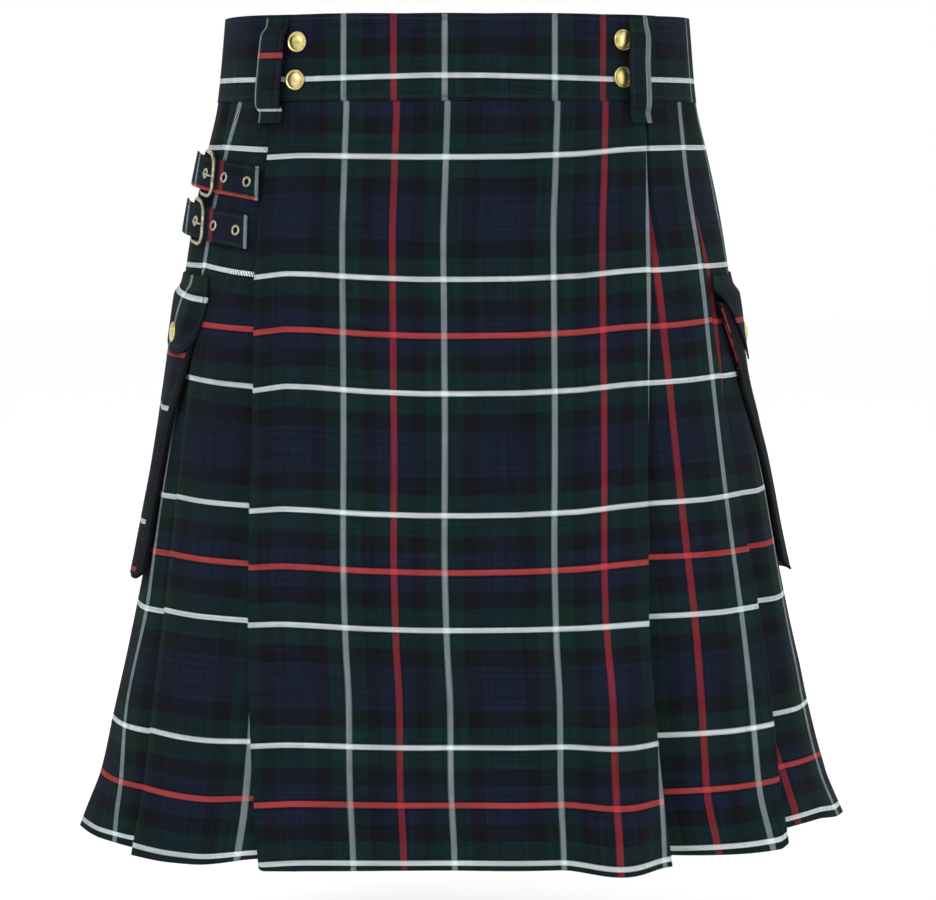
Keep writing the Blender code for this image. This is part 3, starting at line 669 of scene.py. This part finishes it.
for side in ("right", "left"):
    for k in range(6):
        dropColumn = downRun(clothTop, pleatLook["length"], pleatLook["rows"])
        path, tip, before, fold = pleatRun(side, k, dropColumn)
        s, out, tipColumn = fillPath(path, tip, pleatLook["faceStep"])
        # the deep layers reach up behind the band
        tuck = climb(-out[:1], pleatLook["tuckDeep"], pleatLook["tuckDeeper"])
        tuck = pleatLook["tuck"] * tuck * climb(s[:1], pleatLook["tuckFrom"], pleatLook["tuckOver"])
        drop = dropColumn - tuck * (1 - climb(dropColumn, clothTop, pleatLook["tuckLong"]))
        stride = np.hypot(np.diff(s, axis=1, prepend=s[:, :1]), np.diff(out, axis=1, prepend=out[:, :1]))
        walked = np.cumsum(stride, axis=1)
        walked = walked - walked[:, tipColumn:tipColumn + 1]
        white, foldAt = pleatLook["whiteAt"][side], fold - nip
        if k == 0:
            white = read(pleatLook["first"][side], "at", drop)
        second = pleatLook[side + "Second"] if k == 1 else None
        if second and side == "right":
            white = read(second, "at", drop) - foldAt
        across = whiteLine + (walked - white) / pleatLook["scale"].get((side, k), pleatLook["usualScale"])
        if second and side == "left":
            red, pale = (read(second, c, drop) for c in ("red", "white"))
            across = (np.minimum(walked + foldAt, foldAt) - red) / (pale - red)
            across = whiteLine * across + np.maximum(walked, 0)
        low, down = pleatLook["low"].get((side, k)), drop
        if low:
            near, far = (read(low, c, drop) for c in ("near", "fold"))
            down = drop - near - (far - near) * climb(s, before, fold - before)
        weave = np.stack([across, clothRow(down, "pleats")], axis=-1) * mm
        s = pleatSides[side]["sign"] * s
        if side == "right":
            s, out, weave = s[:, ::-1], out[:, ::-1], weave[:, ::-1]
        points = place(drop, s, out)
        clothPiece("%sPleat%d" % (side, k + 1), "pleat_%s_%d" % (side, k + 1), "tartan", "gathered",
                   ["waistbandCloth"], points, weave, clothWall)
print("pleats made")

# Waistband.

band = {
    "wall": 3.0, "clothWall": 2.8, "stitchIn": 3.2, "out": -0.3, "rows": 24, "step": 4.0, "start": -140.0,
    "overlap": 300.0, "stepIn": (24.0, 4.0), "stepGap": 0.6,        # the end runs on behind the start
    "play": 0.25, "playWide": 73, "playHigh": 150, "playStop": 30, "lift": 0.35, "liftWide": 143,
    "redAt": -45.0, "whiteDrop": 44.0, "sag": 2.3, "sagFrom": 20, "sagOver": 90,
    "slack": 0.3, "slackFrom": 142.0, "slackOver": 78.0,    # the check runs closer over the left hip
    "cutFrom": 300, "cutOver": 200,
    "seam": 466.0, "whiteEnd": -137.0, "endScale": 0.88,    # the other half, joined under the back loop
}
girth = 2 * halfGirth(bandHeight / 2)
inner = band["out"] - band["wall"] - band["stepGap"]
stepFrom, stepTo = (girth - back for back in band["stepIn"])
ends, outs = (0.0, stepFrom, stepTo, girth + band["overlap"]), (band["out"], band["out"], inner, inner)
columns = [0.0]
for a, b in zip(ends, ends[1:]):
    parts = int(round((b - a) / band["step"]))
    columns += [a + (b - a) * j / parts for j in range(1, parts + 1)]
columns = np.array(columns)[None, :]
dropColumn = downRun(0.0, bandHeight, band["rows"])
scale = 2 * halfGirth(dropColumn) / girth
s = (band["start"] + columns) * scale
play = band["play"] * wave(s, band["playWide"]) * wave(dropColumn, band["playHigh"], 0.2)
out = np.interp(columns, ends, outs) + play * (columns < girth - band["playStop"])
drop = dropColumn + band["lift"] * wave(s, band["liftWide"], 0.3) * (1 - dropColumn / bandHeight)
wrapped = np.where(s > halfGirth(drop), s - 2 * halfGirth(drop), s)
bandPoints = place(drop, wrapped, out)
sag = band["sag"] * climb(np.abs(wrapped), band["sagFrom"], band["sagOver"])
even = band["start"] + columns      # as the band lies cut, used all round but for the front
along = even + (s - even) * (1 - climb(columns, band["cutFrom"], band["cutOver"]))
along = along + band["slack"] * np.clip(along - band["slackFrom"], 0, band["slackOver"])
across = (along - band["redAt"]) / apron["scale"]
otherHalf = (even - girth - band["whiteEnd"]) * band["endScale"] / apron["scale"]
across = np.where(even + 0 * dropColumn > band["seam"], 2 * blueMiddle - whiteLine + otherHalf, across)
weave = np.stack([across, drop - band["whiteDrop"] - sag - whiteLine], axis=-1) * mm
stitch = edgeStitch(band["rows"], columns.shape[1], float(columns[0, -1]), bandHeight, band["stitchIn"])
clothPiece("waistbandCloth", "waistband", "tartan", "stretched", (), bandPoints, weave, band["clothWall"],
           stitchMap=stitch)
print("waistband made")

# Belt loops.

loops = {
    "width": 20.0, "narrow": {"front_left": 17.0}, "wall": 1.4, "stitchIn": 2.4, "rows": 46, "columns": 15,
    "drop": (2.0, 9.0, 14.0, 34.0, 54.0, 65.0, 69.0, 77.0),
    "out":  (2.2, 2.2, 8.2,  9.4,  9.8,  8.4,  1.9,  1.7),
    "places": {                     # middle of the loop, and the check at its middle, across and down
        "front_right": (-132.5, whiteLine + 11.2, -30.0), "front_left": (134.5, whiteLine - 6.4, 43.5),
        "side_right": (-300.0, 90.0, 60.0), "side_left": (300.0, 60.0, 100.0), "back": (466.0, 84.0, 50.0),
    },
    "slant": {"front_left": (0.0, 0.0, -3.0, -6.0, -7.0, -7.0, -5.0, -4.0)},     # aside, at the drops above
}


def joinWords(first, name):         # a piece's name from its node's
    return first + "".join(word.capitalize() for word in name.split("_"))


walked = np.concatenate([[0], np.cumsum(np.hypot(np.diff(loops["drop"]), np.diff(loops["out"])))])
lengthDown = np.linspace(0, 1, loops["rows"]) * walked[-1]
dropColumn, outColumn = (np.interp(lengthDown, walked, loops[c])[:, None] for c in ("drop", "out"))
for again in range(3):              # the folds are round
    outColumn[1:-1] = 0.25 * outColumn[:-2] + 0.5 * outColumn[1:-1] + 0.25 * outColumn[2:]
for name, (middle, acrossAt, downAt) in loops["places"].items():
    width = loops["narrow"].get(name, loops["width"])
    across = acrossRun(-0.5, 0.5, loops["columns"]) * width
    s = middle * halfGirth(dropColumn) / halfGirth(0.0) + across
    if name in loops["slant"]:
        s = s + np.interp(dropColumn, loops["drop"], loops["slant"][name])
    points = place(dropColumn, s, outColumn)
    weave = np.stack([acrossAt + across + 0 * s, downAt + lengthDown[:, None] + 0 * s], axis=-1) * mm
    stitch = edgeStitch(loops["rows"], loops["columns"], width, float(walked[-1]), loops["stitchIn"], "lr")
    clothPiece(joinWords("beltLoop", name), "belt_loop_" + name, "tartan", "stretched", ["waistbandCloth"],
               points, weave, loops["wall"], stitchMap=stitch)
print("belt loops made")

# Cargo pockets.

pocket = {
    "wall": 1.2, "bagOff": 2.4, "rows": 72, "columns": 60, "gusset": 20.0, "lip": 2.0, "gap": 0.3,
    "dark": ((235, 262, 300, 350), (3.0, 5.0, 9.0, 10.0)),      # how much of the gusset is painted shade in the check's plain black, by drop
    "drop":  (208, 224, 240, 256, 272, 288, 305, 350, 395, 420),
    "deep":  (2.7, 2.9, 3.2, 3.6, 4.0, 4.4, 4.8, 5.7, 6.8, 7.4),
    "right": {"front": (-80, -78, -77, -73, -69, -64, -59, -55, -58, -62),
              "back":  (66,  67,  69,  72,  75,  77,  79,  80,  80,  80)},
    "left":  {"front": (-74, -66, -58, -51, -47, -38, -28, -25, -20, -20),
              "back":  (68,  72,  77,  83,  90,  99,  108, 116, 120, 120)},
    "pleatHalf": 17.0, "pleatHigh": 0.9, "pleatSlope": 1.2, "play": 0.5, "playLong": 160,
    "frontDeep": 0.35, "bulge": 0.35, "turnFrom": 411.0, "turnIn": 0.9,
    "redAt": 247.0, "faceAt": 50.0, "shadeCheckAt": 57.0, "shadeCheckRun": 0.045,     # places in the check
    "redEdge": {"right": 0, "left": 258},       # a red thread shows at the front edge down to here
    "hem": 8.0,
    "cut": 6.0, "cutFrom": 385.0, "cutWide": 70.0,      # the bottom rises towards the front
}
flap = {                            # the front and back halves: width, side edge's lower end, hollowness
    "right": {"middle": -244.0, "point": 246.0, "snap": 231.0, "tilt": 0.12,
              "front": (48.0, 200.0, 3.2), "back": (98.0, 212.0, 1.15)},
    "left":  {"middle": 276.0, "point": 255.0, "snap": 233.0, "tilt": 0.0,
              "front": (70.0, 198.0, 1.15), "back": (70.0, 198.0, 1.15)},
    "top": 188.0, "drop": (180, 188, 195, 204, 225, 255), "out": (1.5, 1.6, 2.3, 6.6, 7.3, 8.1),
    "ahead": 2.0, "climbFrom": 6.0, "climbOver": 16.0, "dip": 1.2, "dipReach": 9.0,
    "tiltLimit": 48, "tiltOver": 12, "blunt": 0.002, "stitchIn": 4.0,
    "wall": 1.2, "rows": 36, "columns": 61,
    "lineDrop": (188, 200, 231, 255),           # drops where the white line's place is given
    "line": {"right": (-221, -223, -244, -262), "left": (196, 204, 218, 234)},
    "checkDown": {"right": -160.0, "left": -222.0},
}


def pocketEdge(drop, side, end):
    return sideOf(drop) + smoothRun(drop, pocket["drop"], pocket[side][end])


def flapOut(drop, s, side):         # over the bag, down to the pleats ahead of it, and pressed in by the snap
    over = climb(np.abs(s), pocketEdge(drop, side, "front") - flap["climbFrom"], flap["climbOver"])
    over = over * over * (3 - 2 * over)
    away = (drop - flap[side]["snap"]) ** 2 + (s - flap[side]["middle"]) ** 2
    dip = flap["dip"] * np.exp(-away / flap["dipReach"] ** 2)
    return flap["ahead"] + (read(flap, "out", drop) - flap["ahead"]) * over - dip


def pocketBag(side):                # an inner and an outer wall in one loop, closed at the bottom
    top, foot, off = pocket["drop"][0], pocket["drop"][-1], pocket["bagOff"]
    dropColumn = downRun(top, foot, pocket["rows"])
    deep = read(pocket, "deep", dropColumn)
    start, end = (pocketEdge(dropColumn, side, c) for c in ("front", "back"))
    wide = end - start
    gusset, lip, gap = pocket["gusset"], pocket["lip"], pocket["gap"]
    # the width of the gusset that is painted as shade
    shadedWidth = np.interp(dropColumn, *pocket["dark"]) if side == "right" else gusset + 0.0 * wide
    narrow = lip + gap + (shadedWidth - lip - gap) * acrossRun(0, 1, 5)
    broad = shadedWidth + gap + (wide - shadedWidth - gap) * acrossRun(0, 1, pocket["columns"] - 9)
    share = np.hstack([lip * acrossRun(0, 1, 4) / wide, narrow / wide, broad / wide])
    turn = np.linspace(0, 1, 7)[None, 1:-1]
    crown = 1 - (2 * share - 1) ** 4
    boxPleat = climb(pocket["pleatHalf"] - np.abs(share - 0.5) * wide, 0, pocket["pleatSlope"])
    outerS = start + share * wide
    ripple = pocket["play"] * wave(share, 0.45, 0.1) * wave(dropColumn, pocket["playLong"], 0.4)
    rise = pocket["frontDeep"] + (1 - pocket["frontDeep"]) * climb(share * wide, 0, gusset)
    outerOut = off + deep * rise + pocket["pleatHigh"] * boxPleat + ripple * crown
    innerOut = np.full_like(outerS, off)
    corner, low = deep / 2, deep * pocket["frontDeep"] / 2
    endS = end + pocket["bulge"] * corner * np.sin(pi * turn)
    startS = start - pocket["bulge"] * low * np.sin(pi * turn)
    endOut, startOut = off + corner * (1 + np.cos(pi * turn)), off + low * (1 - np.cos(pi * turn))
    s = np.hstack([outerS, endS, outerS[:, ::-1], startS, outerS[:, :1]])
    out = np.hstack([outerOut, endOut, innerOut, startOut, outerOut[:, :1]])
    # below, the inner wall is drawn out to the outer one
    bottom = climb(dropColumn, pocket["turnFrom"], foot - pocket["turnFrom"])
    levelOut = off + deep
    out = out + (levelOut - out) * pocket["turnIn"] * bottom ** 2 * (out < levelOut)
    drop = np.broadcast_to(dropColumn, s.shape)
    walked = share * wide
    across = np.hstack([walked, wide + 4 * turn, walked[:, ::-1], -3 * turn + 0 * wide, 0 * wide])
    # the gusset is painted shade: it takes the plain black part of the check
    dark = across <= shadedWidth + 0.1
    down = np.where(dark, pocket["shadeCheckAt"] + (drop - top) * pocket["shadeCheckRun"], drop - pocket["redAt"])
    check = np.where(dark, pocket["shadeCheckAt"] + 1 + across * 0.3, pocket["faceAt"] + across)
    check = np.where((drop < pocket["redEdge"][side]) & (across < lip + 0.1), 0.3 * across, check)
    weave = np.stack([check, down], axis=-1) * mm
    inFace = (across >= 0) & (across <= wide)
    stitch = np.stack([across, np.where(inFace, drop - top - pocket["hem"], 900.0)], axis=-1) * mm
    cut = climb(drop, pocket["cutFrom"], foot - pocket["cutFrom"])
    drop = drop - pocket["cut"] * cut * (1 - climb(np.maximum(across, 0), 0, pocket["cutWide"]))
    s = pleatSides[side]["sign"] * s
    if side == "right":
        s, out, weave, stitch = s[:, ::-1], out[:, ::-1], weave[:, ::-1], stitch[:, ::-1]
    points = place(drop, s, out)
    clothPiece(side + "PocketBag", "pocket_" + side, "tartan_inner", "hung",
               [side + "Pleat2", side + "Pleat3"], points, weave, pocket["wall"], stitchMap=stitch)


def pocketFlap(side):               # short side edges and a point at its middle, held by the snap
    middle, point, tilt = (flap[side][c] for c in ("middle", "point", "tilt"))
    share = acrossRun(-1, 1, flap["columns"])
    run = downRun(0, 1, flap["rows"])
    atBack = share * np.sign(middle) > 0
    half, sideEnd, curve = (np.where(atBack, b, a) for a, b in zip(flap[side]["front"], flap[side]["back"]))
    blunt = (share ** 2 + flap["blunt"]) ** (curve / 2)
    ahead = np.maximum(-share * half * np.sign(middle), -flap["tiltLimit"])     # of the middle
    drop = flap["top"] + run * (point + (sideEnd - point) * blunt - flap["top"])
    level = drop + tilt * ahead * climb(drop, flap["top"], flap["tiltOver"])
    s = middle + share * half + 0 * run
    lineAt = np.interp(level, flap["lineDrop"], flap["line"][side])
    weave = np.stack([whiteLine + s - lineAt, drop + flap["checkDown"][side]], axis=-1) * mm
    slant = half / np.hypot(half, point - sideEnd)
    edgeAway = np.minimum((1 - run) * (drop[-1:] - flap["top"]) * slant, half * (1 - np.abs(share)))
    stitch = np.stack([np.abs(s), edgeAway - flap["stitchIn"]], axis=-1) * mm
    points = place(level, s, flapOut(level, s, side))
    clothPiece(side + "PocketFlap", "pocket_flap_" + side, "tartan", "hung", [side + "PocketBag"],
               points, weave, flap["wall"], stitchMap=stitch)


for side in ("right", "left"):
    pocketBag(side)
    pocketFlap(side)
print("pockets made")

# Hard pieces: profiles spun round an axis, bent wire and bevelled frames, each laid on the cloth afterwards.

def startPiece(name, add, edit=True, **sizes):      # a primitive, opened for editing with all of it selected
    bpy.ops.object.select_all(action="DESELECT")
    add(location=(0, 0, 0), **sizes)
    piece = bpy.context.object
    piece.name = piece.data.name = name
    if edit:
        bpy.ops.object.mode_set(mode="EDIT")
        bpy.ops.mesh.select_all(action="SELECT")
    return piece


def tidyMesh(piece, look, angle=40):
    bpy.ops.mesh.select_all(action="SELECT")
    bpy.ops.mesh.remove_doubles(threshold=1e-6)
    bpy.ops.mesh.normals_make_consistent(inside=False)
    bpy.ops.object.mode_set(mode="OBJECT")
    piece.data.shade_smooth()
    piece.data.set_sharp_from_angle(angle=radians(angle))
    piece.data.materials.append(look)
    return piece


def spinProfile(name, profile, look, steps=40):     # a profile of radius and height, turned round the Z axis
    piece = startPiece(name, bpy.ops.mesh.primitive_plane_add, size=mm)
    bpy.ops.mesh.merge(type="CENTER")
    bpy.ops.transform.translate(value=(profile[0][0] * mm, 0, profile[0][1] * mm))
    for (a, b), (c, d) in zip(profile, profile[1:]):
        bpy.ops.mesh.extrude_region_move(TRANSFORM_OT_translate={"value": ((c - a) * mm, 0, (d - b) * mm)})
    bpy.ops.mesh.select_all(action="SELECT")
    bpy.ops.mesh.spin(steps=steps, angle=2 * pi, center=(0, 0, 0), axis=(0, 0, 1))
    return tidyMesh(piece, look)


def copyTo(pattern, name, spot):    # a copy with a mesh of its own, its points moved to the spot
    piece = linkPiece(name, pattern.data.copy())
    piece.data.name = name
    piece.data.transform(spot)
    return piece


# Press snaps: a low dome inside a rolled rim.

snap = {
    "radius": (0,   2.4, 4.2,  5.3, 5.8,  6.2,  6.8,  7.3,  7.6, 7.6),
    "height": (2.6, 2.5, 2.15, 1.6, 1.25, 1.45, 1.55, 1.25, 0.7, 0.0),
    "places": {"right_upper": (19.5, -116.5), "right_lower": (46.5, -118.0),
               "left_upper": (18.0, 121.5), "left_lower": (44.5, 121.5)},
    "bandOut": 2.1, "flapRise": 0.7,
}
capPattern = spinProfile("capPattern", [*zip(snap["radius"], snap["height"]), (0.0, 0.0)], capBrass)
for name, (drop, s) in snap["places"].items():
    cap = copyTo(capPattern, joinWords("snap", name), spotFrame(drop, s, snap["bandOut"]))
    finishPiece(cap, "snap_" + name)
for side in ("right", "left"):
    middle, snapDrop = flap[side]["middle"], flap[side]["snap"]
    seatOut = float(flapOut(snapDrop, middle, side)) + snap["flapRise"]
    cap = copyTo(capPattern, side + "PocketSnap", spotFrame(snapDrop, middle, seatOut))
    finishPiece(cap, "pocket_snap_" + side)
bpy.data.objects.remove(capPattern)
print("snaps made")

# Side straps, each with three eyelets, run round to the back and through a buckle.

strap = {
    "width": 24.4, "wall": 1.3, "rise": 0.13, "point": 4.0, "pointPower": 2.4, "scale": 0.87, "stitchIn": 2.2,
    "hole": 2.2, "holeSides": 28, "punch": 6.0, "first": 10.0, "pitch": 22.5, "eyeletLift": 0.05,
    "along": (0.0, 9.0, 17.0, 26.0, 37.0, 46.0, 60.0, 74.0, 82.0, 90.0),
    "out":   (1.7, 1.7, 2.0,  2.6,  3.9,  5.0,  6.2,  7.5,  7.6,  7.3),
    "rows": 25, "columns": 92,
    "places": {                     # drop at the sewn end, where it starts and ends, check at its middle line
        "upper": (120.5, 148.4, 238.0, 11.5), "lower": (155.4, 157.6, 248.0, 88.0),
    },
}
eyelet = {"middle": 3.05, "half": 0.95, "high": 0.8}
buckle = {
    "wide": 28.0, "high": 31.0, "corner": 8.0, "wire": 1.2, "rounding": 0.62,
    "barOut": 3.6, "frontOut": 7.7, "barBehind": 14.0,
    "prong": 0.8, "clear": 0.4, "prongTurns": (205, 222, 240, 255, 270, 288, 305),
    "prongBack": (5.0, 12.0, 13.2, 14.2, 15.2, 18.0, 24.0, 29.8),       # from the bar towards the apron
    "prongOut":  (3.4, 4.2,  4.6,  6.6,  8.7,  9.5,  9.9,  10.2),
    "tabWall": 0.9, "tabAcross": (-7.0, -4.6, -2.2, 2.2, 4.6, 7.0), "checkAt": 60.0,
    "tabUnder": ((17.0, 1.6), (13.0, 1.6), (9.0, 1.6), (5.5, 1.5)), "tabLift": 3.0, "tabEnd": (12.0, 4.2),
}
eyeletRim = [(eyelet["middle"] + eyelet["half"] * cos(turn), eyelet["high"] * sin(turn))
             for turn in np.linspace(0, pi, 9)] + [(eyelet["middle"] + eyelet["half"], 0.0)]
eyeletPattern = spinProfile("eyeletPattern", eyeletRim, agedBrass, 36)


def strapOut(along):
    return smoothRun(along, strap["along"], strap["out"])


def bentWire(name, points, radius, look, sides=10):     # a disc drawn out along the wire's middle line
    piece = startPiece(name, bpy.ops.mesh.primitive_circle_add, vertices=sides, radius=radius,
                       fill_type="NGON")
    for made in points[1:]:
        bpy.ops.mesh.extrude_region_move(TRANSFORM_OT_translate={"value": (0, 0, mm)})
    bpy.ops.object.mode_set(mode="OBJECT")
    for vertex in piece.data.vertices:
        k = int(round(vertex.co.z / mm))
        here = Vector(points[k])
        ahead = (Vector(points[min(k + 1, len(points) - 1)]) - Vector(points[max(k - 1, 0)])).normalized()
        taper = 0.7 if k in (0, len(points) - 1) else 1.0
        vertex.co = here + ahead.to_track_quat("Z", "Y").to_matrix() @ Vector((*vertex.co.xy, 0)) * taper
    bpy.ops.object.mode_set(mode="EDIT")
    return tidyMesh(piece, look, 60)


def buckleFrame(name, onFrame):     # a plate with round corners, opened, thickened and rounded
    wire = buckle["wire"]
    piece = startPiece(name, bpy.ops.mesh.primitive_plane_add, size=1.0)
    bpy.ops.transform.resize(value=((buckle["wide"] + 2 * wire) * mm, (buckle["high"] + 2 * wire) * mm, 1.0))
    bpy.ops.mesh.bevel(offset=(buckle["corner"] + wire) * mm, affect="VERTICES", segments=8)
    bpy.ops.mesh.inset(thickness=2 * wire * mm)
    bpy.ops.mesh.delete(type="FACE")
    bpy.ops.mesh.select_all(action="SELECT")
    bpy.ops.transform.translate(value=(0, 0, -wire * mm))
    bpy.ops.mesh.extrude_region_move(TRANSFORM_OT_translate={"value": (0, 0, 2 * wire * mm)})
    bpy.ops.mesh.select_all(action="DESELECT")
    bpy.ops.object.mode_set(mode="OBJECT")
    for edge in piece.data.edges:       # the four rims are the edges that lie level between rows of faces
        a, b = (piece.data.vertices[v].co for v in edge.vertices)
        edge.select = abs(a.z - b.z) < 1e-7 and onRim(a, b)
    bpy.ops.object.mode_set(mode="EDIT")
    bpy.ops.mesh.bevel(offset=buckle["rounding"] * wire * mm, segments=3, affect="EDGES")
    bpy.ops.object.mode_set(mode="OBJECT")
    for vertex in piece.data.vertices:
        vertex.co = onFrame(vertex.co.x / mm, vertex.co.y / mm, vertex.co.z / mm)
    bpy.ops.object.mode_set(mode="EDIT")
    return tidyMesh(piece, agedBrass, 60)


def rimReach(co):                   # how far a point lies from the frame's round-cornered middle line
    x = max(abs(co.x) / mm - (buckle["wide"] / 2 - buckle["corner"]), 0.0)
    y = max(abs(co.y) / mm - (buckle["high"] / 2 - buckle["corner"]), 0.0)
    return (x * x + y * y) ** 0.5 - buckle["corner"]


def onRim(a, b):                    # both ends on the same side of the wire
    return rimReach(a) * rimReach(b) > 0


def punchHole(cloth, spot):         # a round hole through a strap
    punch = startPiece("punch", bpy.ops.mesh.primitive_cylinder_add, False, vertices=strap["holeSides"],
                       radius=strap["hole"] * mm, depth=strap["punch"] * mm)
    punch.data.transform(spot)
    applyModifier(cloth, "BOOLEAN", operation="DIFFERENCE", object=punch)
    bpy.data.objects.remove(punch)


for name, (lowStart, start, tip, checkAt) in strap["places"].items():
    def strapDrop(along):
        return lowStart - strap["rise"] * along

    def onStrap(along, out, up=0.0):        # a place by its distance from the sewn end, out and up the strap
        return place(strapDrop(along) - up, -(start + along), out)

    length = tip - start
    across = downRun(-0.5, 0.5, strap["rows"]) * strap["width"]
    share = acrossRun(1, 0, strap["columns"])
    point = strap["point"] * np.abs(2 * across / strap["width"]) ** strap["pointPower"]
    along = share * (length - point)
    points = onStrap(along, strapOut(along), -across)
    checkDown = checkAt - across if name == "upper" else checkAt + across
    weave = np.stack([whiteLine - (along - 0.5) / strap["scale"], checkDown + 0 * along], axis=-1) * mm
    stitch = edgeStitch(strap["rows"], strap["columns"], length, strap["width"], strap["stitchIn"], "tbl")
    cloth = clothSheet(name + "Strap", points, weave, strap["wall"], "tartan", stitch)
    holes = [strap["first"] + k * strap["pitch"] for k in range(3)]
    for k, along in enumerate(holes):
        here, middleOut = (strapDrop(along), -(start + along)), float(strapOut(along))
        punchHole(cloth, spotFrame(*here, middleOut))
        seat = spotFrame(*here, middleOut + strap["wall"] / 2 + strap["eyeletLift"])
        ring = copyTo(eyeletPattern, "%sEyelet%d" % (name, k + 1), seat)
        finishPiece(ring, "eyelet_%s_%d" % (name, k + 1))
    finishCloth(cloth, "strap_" + name)

    bar, barOut = holes[2] + buckle["barBehind"], buckle["barOut"]
    tilt = (buckle["frontOut"] - barOut) / buckle["wide"]

    def onFrame(x, y, z):           # x runs towards the apron from the frame's centre, y up, z outwards
        along = bar - buckle["wide"] / 2 - x
        return Vector(onStrap(along, barOut + tilt * (bar - along) + z, y))

    finishPiece(buckleFrame(name + "Buckle", onFrame), "buckle_" + name)

    hook = buckle["wire"] + buckle["clear"] + buckle["prong"]
    path = [(bar - hook * cos(turn), barOut + hook * sin(turn)) for turn in np.radians(buckle["prongTurns"])]
    path += [(bar - back, out) for back, out in zip(buckle["prongBack"], buckle["prongOut"])]
    prong = bentWire(name + "Prong", [tuple(onStrap(*p)) for p in path], buckle["prong"] * mm, agedBrass)
    finishPiece(prong, "prong_" + name)

    # the cloth tab that holds the bar, slotted for the prong
    wrap = buckle["wire"] + buckle["clear"] + buckle["tabWall"] / 2
    path = [(bar + ahead, out) for ahead, out in buckle["tabUnder"] + ((buckle["tabLift"], barOut - wrap),)]
    path += [(bar - wrap * cos(turn), barOut + wrap * sin(turn)) for turn in np.linspace(-pi / 2, pi / 2, 11)]
    ahead, out = buckle["tabEnd"]
    path += [(bar + ahead / 2, barOut + wrap - 0.3), (bar + ahead, out)]
    across = np.array(buckle["tabAcross"])[:, None]
    along, out = (np.array([p[c] for p in path[::-1]])[None, :] for c in (0, 1))
    points = onStrap(along, out, -across)
    stride = np.hypot(np.diff(along, prepend=along[:, :1]), np.diff(out, prepend=out[:, :1]))
    walked = np.cumsum(stride, axis=1) + 0.0 * across
    weave = np.stack([buckle["checkAt"] + walked, buckle["checkAt"] + across + 0.0 * walked], axis=-1) * mm
    slotFaces = {(2, c) for c in range(3, 14)}
    clothPiece(name + "BuckleTab", "buckle_tab_" + name, "tartan_inner", "folded", ["rightPleat2"],
               points, weave, buckle["tabWall"], openFaces=slotFaces)
bpy.data.objects.remove(eyeletPattern)
print("straps and buckles made")

# Camera, light and floor.

view = {"at": (0.0, -2.225, -0.064), "down": 5.853, "lens": 113.3, "shift": 0.01175}
cameraData = bpy.data.cameras.new("camera")
camera = linkPiece("camera", cameraData)
camera.location = view["at"]
camera.rotation_euler = (radians(90 - view["down"]), 0, 0)
cameraData.lens, cameraData.sensor_width, cameraData.shift_x = view["lens"], 36.0, view["shift"]
bpy.context.scene.camera = camera


def softLight(name, at, aim, size, power):
    data = bpy.data.lights.new(name, "AREA")
    data.shape, data.size, data.energy = "DISK", size, power
    lamp = linkPiece(name, data)
    lamp.location = at
    lamp.rotation_euler = (Vector(aim) - Vector(at)).to_track_quat("-Z", "Y").to_euler()


studio = {"floor": -0.72, "reach": 9.0, "floorTone": 0.985}
softLight("keyLight", (-1.6, -2.6, 1.5), (0, 0, -0.25), 1.6, 30.0)
softLight("fillLight", (2.2, -2.2, 0.6), (0, 0, -0.3), 1.8, 16.0)
softLight("backLight", (0.2, 2.6, 2.0), (0, 0, -0.2), 1.6, 20.0)
world = bpy.data.worlds.new("studio")
world.use_nodes = True
world.node_tree.nodes["Background"].inputs[0].default_value = (1.0, 1.0, 1.0, 1.0)
world.node_tree.nodes["Background"].inputs[1].default_value = 1.0
bpy.context.scene.world = world
bpy.context.scene.view_settings.view_transform = "Standard"

bpy.ops.object.select_all(action="DESELECT")
bpy.ops.mesh.primitive_plane_add(size=2 * studio["reach"], location=(0, 0, studio["floor"]))
floor = bpy.context.object
floor.name = "floor"
pale, tree, shader = newMaterial("paleFloor", 0.9)
shader.inputs["Base Color"].default_value = (*[studio["floorTone"]] * 3, 1.0)
floor.data.materials.append(pale)
print("camera, light and floor ready")
